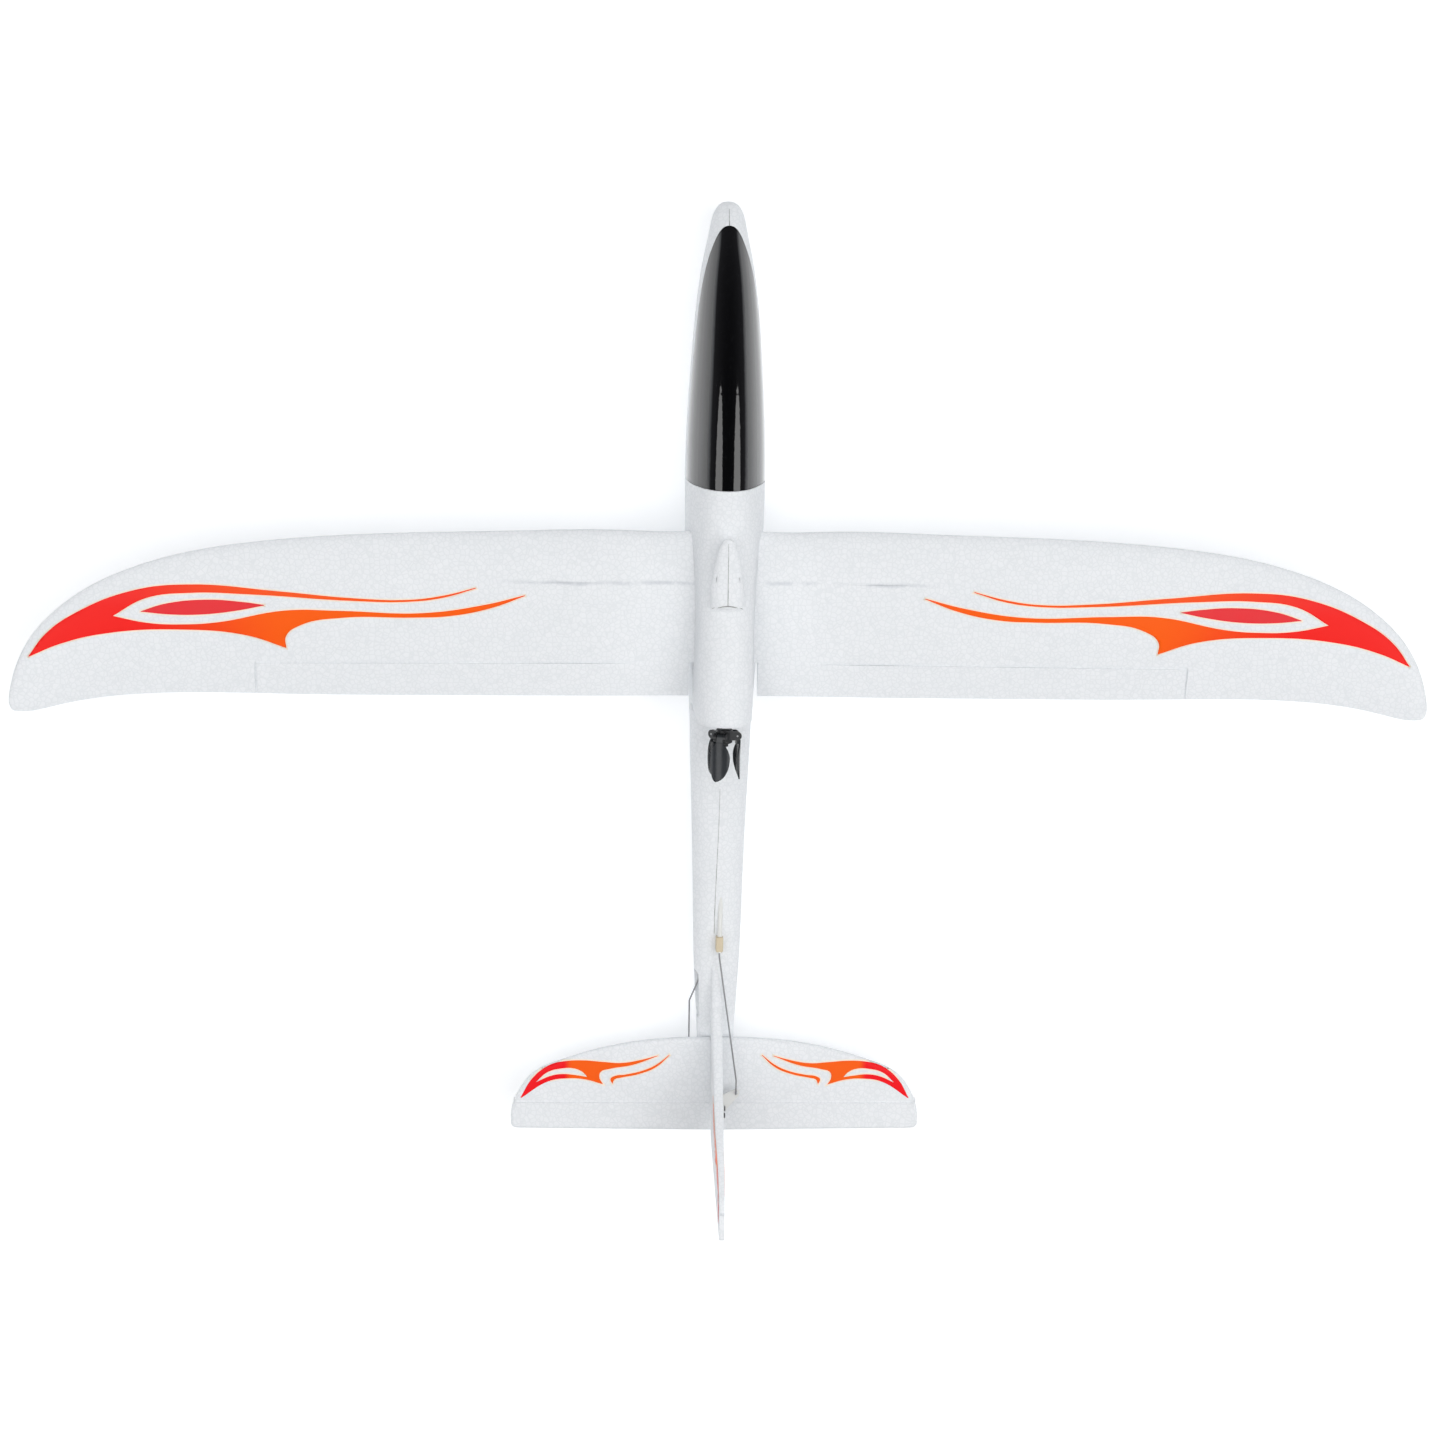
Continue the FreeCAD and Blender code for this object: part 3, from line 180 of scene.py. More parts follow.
# Softboxes: name, centre, size along and across, watts, and whether gloss shows them
SOFTBOXES = (
    ("port_softbox", (-1.03, -0.40, 1.38), (1.75, 1.15), 8.0, True),
    ("starboard_softbox", (1.10, -0.40, 1.36), (1.75, 1.15), 8.6, True),
    ("overhead_fill", (0.20, 0.55, 2.80), (3.60, 3.20), 70.0, False),
)
for name, centre, size, watts, seen in SOFTBOXES:
    lamp = bpy.data.lights.new(name, "AREA")
    lamp.shape = "ELLIPSE" if seen else "RECTANGLE"
    lamp.size, lamp.size_y = size
    lamp.energy = watts
    holder = bpy.data.objects.new(name, lamp)
    facing = Vector((-centre[0], 0.0, -centre[2])) if seen else -Vector(centre)
    aim = facing.to_track_quat("-Z", "Y").to_matrix().to_4x4()
    holder.matrix_world = Matrix.Translation(centre) @ aim
    holder.visible_camera = False
    holder.visible_glossy = seen
    scene.collection.objects.link(holder)


def finish(name, fixed):
    """A new material with its unchanging shader values set, and its Object coordinates."""
    material = bpy.data.materials.new(name)
    material.use_nodes = True
    tree = material.node_tree
    for socket, value in fixed.items():
        tree.nodes["Principled BSDF"].inputs[socket].default_value = value
    place = Mark(tree, tree.nodes.new("ShaderNodeTexCoord").outputs["Object"])
    return material, place


def apply_finish(material, colour, roughness=None, relief=None, depth=0.0):
    """Links what changes over the surface to the shader. Relief is 0 to 1, and depth is in metres."""
    shader = material.node_tree.nodes["Principled BSDF"]
    if relief:
        bump = relief.node("Bump", None, {"Strength": 1.0, "Distance": depth, "Height": relief})
        material.node_tree.links.new(bump.socket, shader.inputs["Normal"])
    for mark, socket in ((colour, "Base Color"), (roughness, "Roughness")):
        if mark:
            material.node_tree.links.new(mark.socket, shader.inputs[socket])


def noise(place, scale, detail=3.0, stretch=(1, 1, 1)):
    """Cloudy noise, 0 to 1, with scale in patches for each metre."""
    turned = place.node("Mapping", None, {"Vector": place, "Scale": stretch})
    return place.node("TexNoise", None, {"Vector": turned, "Scale": scale, "Detail": detail})


floor_mesh = bmesh.new()
bmesh.ops.create_grid(floor_mesh, x_segments=1, y_segments=1, size=FLOOR_HALF)
bmesh.ops.translate(floor_mesh, verts=floor_mesh.verts, vec=(0, 0, cad_box[0].z - FLOOR_GAP))
floor = bpy.data.objects.new("studio_floor", bpy.data.meshes.new("studio_floor"))
floor_mesh.to_mesh(floor.data)
floor_mesh.free()
FLOOR_GLOW_NEAR = (0.285, 0.292, 0.30, 1)
FLOOR_GLOW_FAR = (0.80, 0.82, 0.85, 1)
floor_paint, floor_place = finish("floor_paint", {
    "Specular IOR Level": 0.0, "Roughness": 0.9, "Emission Strength": 1.0,
})
FLOOR_GLOW_STARTS = 0.9
FLOOR_GLOW_FULL = 5.0
floor_cloud = noise(floor_place, 1.5)
apply_finish(floor_paint, floor_cloud.mix((0.84, 0.845, 0.85, 1), (0.88, 0.88, 0.88, 1)))
floor_distance = floor_place.node("VectorMath", {"operation": "LENGTH"}, {0: floor_place}, 1)
floor_glow = floor_distance.rise(FLOOR_GLOW_STARTS, FLOOR_GLOW_FULL).mix(FLOOR_GLOW_NEAR, FLOOR_GLOW_FAR)
floor_shader = floor_paint.node_tree.nodes["Principled BSDF"]
floor_paint.node_tree.links.new(floor_glow.socket, floor_shader.inputs["Emission Color"])
floor.data.materials.append(floor_paint)
scene.collection.objects.link(floor)

# ---- Fuselage halves -------------------------------------------------------------------------
# Two half shells of moulded bead foam, glued together on the centre line. The beads show as a
# faint net of cell edges, and the skin is slightly uneven where the mould vented.

BEAD = 0.0026
FOAM_LIGHT = (0.850, 0.865, 0.885, 1)
FOAM_SHADE = (0.795, 0.818, 0.838, 1)
FOAM_SEAM = (0.66, 0.69, 0.71, 1)
MARKING_GREY = (0.42, 0.45, 0.50, 1)


def foam(name, marking=None):
    """Bead foam. Marking may be a function that takes the coordinates and gives a mask where the skin
    turns grey.
    """
    material, place = finish(name, {"Specular IOR Level": 0.28})
    warped = place.node("VectorMath", {"operation": "MULTIPLY_ADD"}, {
        0: place.node("TexNoise", None, {"Vector": place, "Scale": 260.0}, 1),
        1: (0.0008, 0.0008, 0.0008),
        2: place,
    })
    cells = {"Vector": warped, "Scale": 1 / BEAD, "Randomness": 0.9}
    edge = place.node("TexVoronoi", {"feature": "DISTANCE_TO_EDGE"}, cells)
    tint = place.node("TexVoronoi", None, cells, 1).part(0)
    net = 1 - edge.rise(0.02, 0.16)
    cloud = noise(place, 38.0, 4.0)
    skin = (tint * 0.45 + cloud * 0.55).mix(FOAM_LIGHT, FOAM_SHADE)
    colour = (net * 0.30).mix(skin, FOAM_SEAM)
    if marking:
        colour = marking(place).mix(colour, MARKING_GREY)
    grain = noise(place, 1900.0, 2.0)
    relief = edge.rise(0.0, 0.22) * 0.7 + grain * 0.22
    apply_finish(material, colour, 0.52 + cloud * 0.16 + net * 0.1, relief, 0.00007)
    return material


def paint(material, *names):
    """Gives CAD nodes their finish."""
    for name in names:
        for held in nodes[name].material_slots:
            held.material = material


hull_foam = foam("hull_foam")
paint(hull_foam, "fuselage_left", "fuselage_right")

# ---- Glue seam -------------------------------------------------------------------------------
# A fine bead of glue stands in the joint between the two halves. It shows best on top of the
# motor pod, in front of the vent, and along the boom behind the propeller.

SEAM_WIDTH = 0.00042
SEAM_PROUD = 0.00008
SEAM_THIN_END = 0.4
GLUE_LIFT = 0.00004
RAY_START = 0.3
SEAM_RUNS = (  # name, first y, last y, and how far the joint strays to port by its last end
    ("seam_pod", 0.0955, 0.0632, 0.0),
    ("seam_boom", -0.046, -0.1275, 0.0018),
    ("seam_nose", 0.2655, 0.2570, 0.0),
)
UP = Vector((0, 0, 1))


def skin_of(*names):
    """The outside of CAD nodes, for rays to hit."""
    whole = bmesh.new()
    for name in names:
        whole.from_mesh(nodes[name].data)
    tree = BVHTree.FromBMesh(whole)
    whole.free()
    return tree


def lay(bm, skin, outward, lift):
    """Drops each vertex on the skin, from outside, and leaves it standing off by lift."""
    for vert in bm.verts:
        above = vert.co + outward * (RAY_START - vert.co.dot(outward))
        hit = skin.ray_cast(above, -outward)[0] or skin.find_nearest(vert.co)[0]
        vert.co = hit + outward * lift


def add_piece(name, bm, body, *materials, slot=None):
    """Turns the bmesh into a piece that rides on a body, or on none yet."""
    mesh = bpy.data.meshes.new(name)
    for face in bm.faces:
        face.smooth = True
    bm.to_mesh(mesh)
    bm.free()
    made = bpy.data.objects.new(name, mesh)
    for material in materials:
        mesh.materials.append(material)
    scene.collection.objects.link(made)
    if body:
        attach(made, body)
    return made


def thicken(made, thickness, side=1.0):
    """A closed wall on the outer side of a sheet, or half on each side of it for 0."""
    wall = made.modifiers.new("wall", "SOLIDIFY")
    wall.thickness = thickness
    wall.offset = side


# This dark grey is real glue on the seams, and it also colours the vent's arc below as painted shade.
glue_and_vent_shade, glue_and_shade_place = finish("seam_glue_and_vent_shade", {"Specular IOR Level": 0.4})
glue_and_shade_cloud = noise(glue_and_shade_place, 180.0, 2.0)
apply_finish(glue_and_vent_shade, glue_and_shade_cloud.rise(0.35, 0.65).mix((0.30, 0.31, 0.30, 1), (0.52, 0.53, 0.52, 1)),
             0.4 + glue_and_shade_cloud * 0.2)
hull_skin = skin_of("fuselage_left", "fuselage_right")
for name, first, last, stray in SEAM_RUNS:
    bead = bmesh.new()
    bmesh.ops.create_grid(bead, x_segments=1, y_segments=60, size=0.5)
    bmesh.ops.scale(bead, verts=bead.verts, vec=(SEAM_WIDTH, first - last, 1))
    bmesh.ops.translate(bead, verts=bead.verts, vec=(0, (first + last) / 2, 0))
    for vert in bead.verts:
        back = (first - vert.co.y) / (first - last)
        vert.co.x *= SEAM_THIN_END + (1 - SEAM_THIN_END) * back
        vert.co.x -= stray * back * back * (3 - 2 * back)
    lay(bead, hull_skin, UP, GLUE_LIFT)
    thicken(add_piece(name, bead, "airframe", glue_and_vent_shade, slot="foam"), SEAM_PROUD)

# ---- Vent shadow arc ---------------------------------------------------------------------------
# The scoop on the pod ends in a step whose edge curves aft at both sides. A thin dark arc is laid
# on the skin along that edge as painted shade, standing in for the shadow behind the step.

# A thin dark strip laid on the pod at the scoop's step: painted shade where the step's shadow falls.
VENT_SHADOW_HALF_WIDTH = 0.0082
VENT_SHADOW_Y = 0.0630
VENT_SHADOW_SWEEP = 0.0026
VENT_SHADOW_END_WIDTH = 0.00022
VENT_SHADOW_MORE_WIDTH = 0.00045
VENT_SHADOW_PROUD = 0.00006
vent_shadow = bmesh.new()
bmesh.ops.create_grid(vent_shadow, x_segments=60, y_segments=2, size=0.5)
for vert in vent_shadow.verts:
    share = 2 * vert.co.x
    wide = VENT_SHADOW_END_WIDTH + VENT_SHADOW_MORE_WIDTH * (1 - share * share)
    middle = VENT_SHADOW_Y - VENT_SHADOW_SWEEP * share * share
    vert.co = Vector((share * VENT_SHADOW_HALF_WIDTH, middle + vert.co.y * wide, 0))
lay(vent_shadow, hull_skin, UP, GLUE_LIFT)
thicken(add_piece("vent_shadow_arc", vent_shadow, "airframe", glue_and_vent_shade, slot="foam"), VENT_SHADOW_PROUD)

# ---- Wings, spar tube and pegs -----------------------------------------------------------------
# Bead foam panels with the ailerons' outline moulded as a groove. They push on a carbon tube and
# two pegs, and a patchy grey band is drawn along the tube's line on top, near the root.

SPAR_LINE_Y = 0.071


def spar_line_band(place):
    """A patchy grey band that wanders along the spar tube's line on top of the wing, near the root."""
    wander = noise(place, 42.0, 4.0) * 0.005 - 0.0025
    near = 1 - abs(place.part(1) - SPAR_LINE_Y + wander).rise(0.0001, 0.0017)
    inboard = 1 - abs(place.part(0)).rise(0.070, 0.135)
    above = place.part(2).rise(0.046, 0.050)
    patchy = noise(place, 75.0, 3.0).rise(0.36, 0.62)
    return near * inboard * above * patchy * 0.42


# The wing foam turns grey in a patchy band along the spar tube's line, near the root.
paint(foam("wing_foam", spar_line_band), "wing_left", "wing_right")

carbon, carbon_place = finish("carbon_tube", {"Coat Weight": 0.6, "Coat Roughness": 0.15})
wind = carbon_place.node("TexWave", {"wave_type": "BANDS", "bands_direction": "DIAGONAL"},
                         {"Vector": carbon_place, "Scale": 260.0, "Distortion": 1.5})
apply_finish(carbon, wind.mix((0.012, 0.012, 0.013, 1), (0.035, 0.035, 0.038, 1)),
             0.32 + wind * 0.15, wind, 0.00002)
paint(carbon, "spar_tube", "wing_pegs")

# ---- Wing flames -----------------------------------------------------------------------------
# Printed vinyl stickers on top of both wings: a red tip that turns orange towards two long tails,
# with a separate red lens in the gap. A pale border runs round every edge.

BORDER = 0.00075
STICKER = 0.00005
BORDER_LIFT = 0.00006
PRINT_LIFT = 0.00013
WING_STEP = 0.0026
PALE = (0.94, 0.83, 0.70, 1)

# Outlines in millimetres, starboard side. Each run goes from one sharp corner to the next.
WING_FLAME = (
    ((364.0, 32.6), (355.0, 44.4), (340.0, 55.0), (310.0, 66.6), (282.0, 69.5), (235.0, 65.8),
     (195.0, 62.2), (167.0, 61.5), (149.0, 63.8), (132.2, 68.0)),
    ((131.9, 67.6), (149.0, 62.6), (167.0, 60.4), (195.0, 60.7), (252.0, 64.2), (281.0, 65.0),
     (304.0, 62.3), (320.5, 53.3)),
    ((320.5, 53.3), (303.0, 49.3), (284.0, 48.2), (267.0, 49.2), (232.0, 55.5), (203.0, 55.4),
     (160.0, 54.3), (128.0, 58.7), (106.2, 64.1)),
    ((106.0, 63.7), (124.0, 57.0), (146.0, 52.6), (165.0, 51.8), (203.0, 51.5), (224.0, 47.4),
     (231.5, 41.5), (231.5, 34.9)),
    ((231.5, 34.9), (252.0, 41.9), (287.0, 45.4), (325.0, 43.9), (348.0, 38.8), (363.8, 32.3)),
)
WING_LENS = (
    ((306.3, 55.6), (294.0, 59.4), (272.0, 61.4), (253.0, 60.0), (242.6, 58.5)),
    ((242.6, 58.2), (257.0, 55.4), (274.0, 53.5), (291.0, 53.6), (306.3, 55.3)),
)


def cut_sheet(rings, border):
    """A flat sheet in metres, with the first ring outside and any others as holes in it."""
    curve = bpy.data.curves.new("outline", "CURVE")
    curve.dimensions = "2D"
    curve.fill_mode = "BOTH"
    curve.resolution_u = 8
    curve.offset = border
    for runs in rings:
        corners = [end for run in runs for end in (run[0], run[-1])]
        points = [point for run in runs for point in run]
        points = [point for number, point in enumerate(points) if point != points[number - 1]]
        line = curve.splines.new("BEZIER")
        line.bezier_points.add(len(points) - 1)
        line.use_cyclic_u = True
        for knot, (x, y) in zip(line.bezier_points, points):
            knot.co = (x * MM, y * MM, 0)
        for knot, point in zip(line.bezier_points, points):
            kind = "VECTOR" if point in corners else "AUTO"
            knot.handle_left_type = knot.handle_right_type = kind
    holder = bpy.data.objects.new("outline", curve)
    scene.collection.objects.link(holder)
    bpy.context.view_layer.update()
    finished = holder.evaluated_get(bpy.context.evaluated_depsgraph_get())
    flat = bpy.data.meshes.new_from_object(finished)
    sheet = bmesh.new()
    sheet.from_mesh(flat)
    bpy.data.objects.remove(holder)
    bpy.data.meshes.remove(flat)
    bmesh.ops.remove_doubles(sheet, verts=sheet.verts, dist=1e-6)
    return sheet


def slice_sheet(sheet, step):
    """Cuts a sheet both ways, so that it can follow a curved surface."""
    for axis in (Vector((1, 0, 0)), Vector((0, 1, 0))):
        places = [vert.co.dot(axis) for vert in sheet.verts]
        spot = min(places) + step
        while spot < max(places):
            everything = sheet.verts[:] + sheet.edges[:] + sheet.faces[:]
            bmesh.ops.bisect_plane(sheet, geom=everything, dist=1e-7, plane_co=axis * spot,
                                   plane_no=axis)
            spot += step


def join(whole, part):
    """Adds one bmesh to another."""
    held = bpy.data.meshes.new("part")
    part.to_mesh(held)
    part.free()
    whole.from_mesh(held)
    bpy.data.meshes.remove(held)


def sticker(name, body, pieces, print_ink, place, skin, outward, step, trims=()):
    """Pale sheets with printed ones on them. Place puts the flat sheets at the skin, and each
    trim is a point and the direction beyond it in which the sticker is cut away."""
    both = bmesh.new()
    for number, (border, lift) in enumerate(((BORDER, BORDER_LIFT), (0.0, PRINT_LIFT))):
        for rings in pieces:
            layer = cut_sheet(rings, border)
            slice_sheet(layer, step)
            bmesh.ops.transform(layer, matrix=place, verts=layer.verts)
            for point, beyond in trims:
                everything = layer.verts[:] + layer.edges[:] + layer.faces[:]
                bmesh.ops.bisect_plane(layer, geom=everything, plane_co=point, plane_no=beyond,
                                       clear_outer=True)
            lay(layer, skin, outward, lift)
            layer.normal_update()
            for face in layer.faces:
                face.material_index = number
                if face.normal.dot(outward) < 0:
                    face.normal_flip()
            join(both, layer)
    thicken(add_piece(name, both, body, border_ink, print_ink), STICKER)


def ink(name, colour_of):
    """Satin print on vinyl. colour_of takes the coordinates and a cloudy mark."""
    material, place = finish(name, {
        "Specular IOR Level": 0.15, "Coat Weight": 0.04, "Coat Roughness": 0.3,
    })
    cloud = noise(place, 70.0, 3.0)
    grain = noise(place, 900.0, 2.0)
    apply_finish(material, colour_of(place, cloud), 0.36 + cloud * 0.12, grain, 0.00001)
    return material


def wing_fade(place, cloud):
    """Red at the tip, orange along the tails; the front band turns earlier than the rear one."""
    out = abs(place.part(0)) - place.part(1) * 0.5 + cloud * 0.004
    warm = out.rise(0.205, 0.290)
    soft = place.part(1).rise(0.056, 0.066)
    orange = soft.mix((0.97, 0.115, 0.004, 1), (0.96, 0.095, 0.014, 1))
    red = soft.mix((0.92, 0.018, 0.014, 1), (0.91, 0.026, 0.022, 1))
    return warm.mix(orange, red)


border_ink = ink("border_ink", lambda place, cloud: cloud.mix(PALE, (0.90, 0.79, 0.66, 1)))
wing_ink = ink("wing_flame_ink", wing_fade)
lens_ink = ink("lens_ink", lambda place, cloud: cloud.mix((0.84, 0.030, 0.040, 1),
                                                          (0.78, 0.050, 0.055, 1)))

for side, word in ((-1, "left"), (1, "right")):
    mirror = Matrix.Diagonal((side, 1, 1, 1))
    wing_skin = skin_of("wing_" + word)
    for kind, outline, print_ink in (("flame", WING_FLAME, wing_ink), ("lens", WING_LENS, lens_ink)):
        sticker(f"wing_{kind}_{word}", "airframe", [(outline,)], print_ink, mirror, wing_skin, UP,
                WING_STEP)

# ---- Motor, mount and shaft --------------------------------------------------------------------
# A small brushed can motor held in the pod by a moulded ring with screws; its steel shaft comes
# out behind and carries the propeller.


def metal(name, dark, light, rough, stretch=(1, 1, 1)):
    """Drawn or turned metal, with fine lines across the stretched way."""
    material, place = finish(name, {"Metallic": 1.0})
    lines = noise(place, 900.0, 3.0, stretch)
    stain = noise(place, 60.0, 3.0)
    colour = (lines * 0.6 + stain * 0.4).mix(dark, light)
    apply_finish(material, colour, rough + lines * 0.16, lines, 0.00001)
    return material


def plastic(name, dark, light, rough, scale=1400.0, depth=0.00002, fixed=None):
    """Moulded plastic with a fine spark-eroded grain and faint flow clouds."""
    material, place = finish(name, fixed or {})
    grain = noise(place, scale, 2.0)
    flow = noise(place, 55.0, 3.0)
    colour = (grain * 0.4 + flow * 0.6).mix(dark, light)
    apply_finish(material, colour, rough + flow * 0.12, grain, depth)
    return material


steel = metal("steel_wire", (0.30, 0.30, 0.31, 1), (0.50, 0.50, 0.51, 1), 0.24)
can_steel = metal("motor_can_steel", (0.36, 0.36, 0.37, 1), (0.55, 0.55, 0.56, 1), 0.22,
                  (1, 0.05, 1))
black_plastic = plastic("black_plastic", (0.010, 0.010, 0.011, 1), (0.030, 0.031, 0.034, 1), 0.26)
paint(can_steel, "motor")
paint(black_plastic, "motor_mount")
paint(steel, "motor_mount_screws", "motor_shaft")

# ---- Propeller ---------------------------------------------------------------------------------
# Three folding blades of glossy black plastic on steel pins in a hub, with a nut behind. In
# flight they swing out; at rest they lie folded back along the shaft.

paint(black_plastic, "propeller_hub")
blade_plastic = plastic("blade_plastic", (0.012, 0.013, 0.015, 1), (0.045, 0.050, 0.056, 1), 0.20,
                        700.0, 0.00003)
paint(blade_plastic, "propeller_blade_1", "propeller_blade_2", "propeller_blade_3")
paint(steel, "propeller_nut", "blade_pins")

# ---- Battery, strap and leads ------------------------------------------------------------------
# A flat pack in shrink film with a plain label, held to the floor by a hook and loop strap. Two
# silicone leads loop out of its front end and back over it to the plug on the receiver.

film, film_place = finish("battery_film", {"Coat Weight": 0.5, "Coat Roughness": 0.1})
wrinkle = noise(film_place, 240.0, 3.0, (1, 0.25, 1))
apply_finish(film, wrinkle.mix((0.010, 0.055, 0.150, 1), (0.020, 0.090, 0.220, 1)),
             0.22 + wrinkle * 0.2, wrinkle, 0.0002)
paint(film, "battery_pack")

LABEL_SIZE = (0.0150, 0.0135, 1)
LABEL_FROM_REAR = 0.0095
LABEL_LIFT = 0.00005
LABEL_THICKNESS = 0.00006
STRIPE_STARTS = 0.0036
STRIPE_FULL = 0.0038
battery_low, battery_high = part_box("battery_pack")
label_mesh = bmesh.new()
bmesh.ops.create_grid(label_mesh, x_segments=6, y_segments=8, size=0.5)
bmesh.ops.scale(label_mesh, verts=label_mesh.verts, vec=LABEL_SIZE)
bmesh.ops.translate(label_mesh, verts=label_mesh.verts,
                    vec=(0, battery_low.y + LABEL_FROM_REAR, battery_high.z))
lay(label_mesh, skin_of("battery_pack"), UP, LABEL_LIFT)
label_paper, label_place = finish("label_paper", {"Specular IOR Level": 0.4})
stripe = abs(label_place.part(0)).rise(STRIPE_STARTS, STRIPE_FULL)
label_cloud = noise(label_place, 300.0, 2.0)
blank = label_cloud.mix((0.80, 0.80, 0.78, 1), (0.7, 0.7, 0.68, 1))
apply_finish(label_paper, stripe.mix((0.85, 0.30, 0.02, 1), blank),
             0.4 + label_cloud * 0.2, label_cloud, 0.00002)
thicken(add_piece("battery_label", label_mesh, "airframe", label_paper), LABEL_THICKNESS)

strap_low, strap_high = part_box("battery_strap")
strap_middle = (strap_low + strap_high) / 2
STRAP_THICKNESS = 0.00065
STRAP_CORNER = 0.0012
STRAP_END_LENGTH = 0.0150
STRAP_END_SHIFT = 0.0015
STRAP_END_ABOVE = 0.0004
STRAP_END_CURL = 0.0009

strap = bmesh.new()
bmesh.ops.create_cube(strap, size=1.0)
strap_size = strap_high - strap_low - Vector((STRAP_THICKNESS, 0, STRAP_THICKNESS))
bmesh.ops.scale(strap, verts=strap.verts, vec=strap_size)
bmesh.ops.translate(strap, verts=strap.verts, vec=strap_middle)
open_ends = [face for face in strap.faces if abs(face.normal.y) > 0.5]
bmesh.ops.delete(strap, geom=open_ends, context="FACES_ONLY")
long_edges = [
    edge for edge in strap.edges
    if abs(edge.verts[0].co.y - edge.verts[1].co.y) > strap_size.y / 2
]
bmesh.ops.bevel(strap, geom=long_edges, offset=STRAP_CORNER, affect="EDGES", segments=5,
                profile=0.5, material=-1)
strap_end = bmesh.new()
bmesh.ops.create_grid(strap_end, x_segments=14, y_segments=1, size=0.5)
bmesh.ops.scale(strap_end, verts=strap_end.verts, vec=(STRAP_END_LENGTH, strap_size.y, 1))
bmesh.ops.translate(strap_end, verts=strap_end.verts,
                    vec=(strap_middle.x + STRAP_END_SHIFT, strap_middle.y,
                         strap_high.z + STRAP_END_ABOVE))
for vert in strap_end.verts:
    vert.co.z += STRAP_END_CURL * max(0.0, (-vert.co.x - 0.001) / 0.005) ** 2
join(strap, strap_end)

webbing, webbing_place = finish("strap_webbing", {"Specular IOR Level": 0.2, "Sheen Weight": 0.4})
ribs = webbing_place.node("TexWave", {"bands_direction": "Y"}, {"Vector": webbing_place, "Scale": 420.0})
fuzz = noise(webbing_place, 2600.0, 2.0)
weave = ribs * 0.5 + fuzz * 0.5
apply_finish(webbing, weave.mix((0.010, 0.010, 0.011, 1), (0.050, 0.050, 0.053, 1)),
             0.78 + fuzz * 0.15, weave, 0.0002)
strap_piece = add_piece("strap_webbing", strap, "airframe", webbing, slot="strap")
thicken(strap_piece, STRAP_THICKNESS, side=0.0)
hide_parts("battery_strap")

# The leads' routes, in millimetres: the battery's to the plug, and the motor's up into the pod
LEAD_DIAMETER = 0.0014
BATTERY_ROUTE = (
    (4.5, 205.5, 12.5), (4.5, 213.5, 12.5), (4.5, 219.5, 17.0), (4.5, 217.5, 25.0),
    (4.7, 208.0, 27.5), (5.5, 193.0, 25.0), (5.0, 176.0, 25.5), (3.8, 163.0, 24.5),
    (2.0, 152.5, 21.0), (0.9, 142.0, 17.0),
)
BATTERY_ROUTE_SHIFT = (-2.4, -2.4, -2.4, -2.4, -2.4, -2.4, -2.4, -2.16, -1.68, -1.44)
BATTERY_ROUTE_LIFT = (0, 0, 0.5, 1, 1, 0, 0, 0, 0, 0)
MOTOR_ROUTE = (
    (1.3, 115.0, 12.0), (1.3, 98.0, 12.5), (1.3, 82.0, 18.0), (1.3, 68.0, 30.0),
    (1.3, 55.0, 45.5), (1.3, 43.0, 60.5), (2.3, 34.5, 65.8), (2.9, 30.5, 67.0),
)


def lead(name, route, colour, replaced):
    """A silicone lead as one smooth curve through its route's control points."""
    curve = bpy.data.curves.new(name, "CURVE")
    curve.dimensions = "3D"
    curve.bevel_depth = LEAD_DIAMETER / 2
    curve.bevel_resolution = 4
    curve.resolution_u = 10
    curve.use_fill_caps = True
    line = curve.splines.new("NURBS")
    line.points.add(len(route) - 1)
    for knot, point in zip(line.points, route):
        knot.co = [value * MM for value in point] + [1.0]
    line.order_u = 3
    line.use_endpoint_u = True
    curve.materials.append(colour)
    made = bpy.data.objects.new(name, curve)
    scene.collection.objects.link(made)
    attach(made, "airframe")
    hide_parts(replaced)
    return made


def silicone(name, dark, light):
    """Soft matt lead cover with a little dust."""
    fixed = {"Specular IOR Level": 0.4, "Sheen Weight": 0.15}
    return plastic(name, dark, light, 0.42, 2200.0, 0.00002, fixed)


red_silicone = silicone("red_silicone", (0.42, 0.010, 0.010, 1), (0.60, 0.025, 0.020, 1))
black_silicone = silicone("black_silicone", (0.012, 0.012, 0.012, 1), (0.035, 0.035, 0.035, 1))
black_route = [
    (x + shift, y, z + rise)
    for (x, y, z), shift, rise in zip(BATTERY_ROUTE, BATTERY_ROUTE_SHIFT, BATTERY_ROUTE_LIFT)
]
other_motor_route = [(-x, y, z) for x, y, z in MOTOR_ROUTE]
plug = [nodes["battery_plug"]]
for name, route, colour, slot, far_end, length, carried in (
    ("battery_wire_red", BATTERY_ROUTE, red_silicone, "wire_red", "connector", 0.0990, plug),
    ("battery_wire_black", black_route, black_silicone, "wire_black", "connector", 0.0998, plug),
    ("motor_wire_red", MOTOR_ROUTE, red_silicone, "wire_red", "object", 0.1055, []),
    ("motor_wire_black", other_motor_route, black_silicone, "wire_black", "object", 0.1055, []),
):
    wire = lead(name, route, colour, name.replace("wire", "lead"))
    [value * MM for value in route[0]]
paint(plastic("plug_nylon", (0.50, 0.020, 0.015, 1), (0.62, 0.045, 0.030, 1), 0.34), "battery_plug")

# ---- Receiver, servos and tray -----------------------------------------------------------------
# The receiver's case sits on foam tape. Two small servos are screwed into a plywood tray behind
# it, with nylon arms that pull the tail wires.

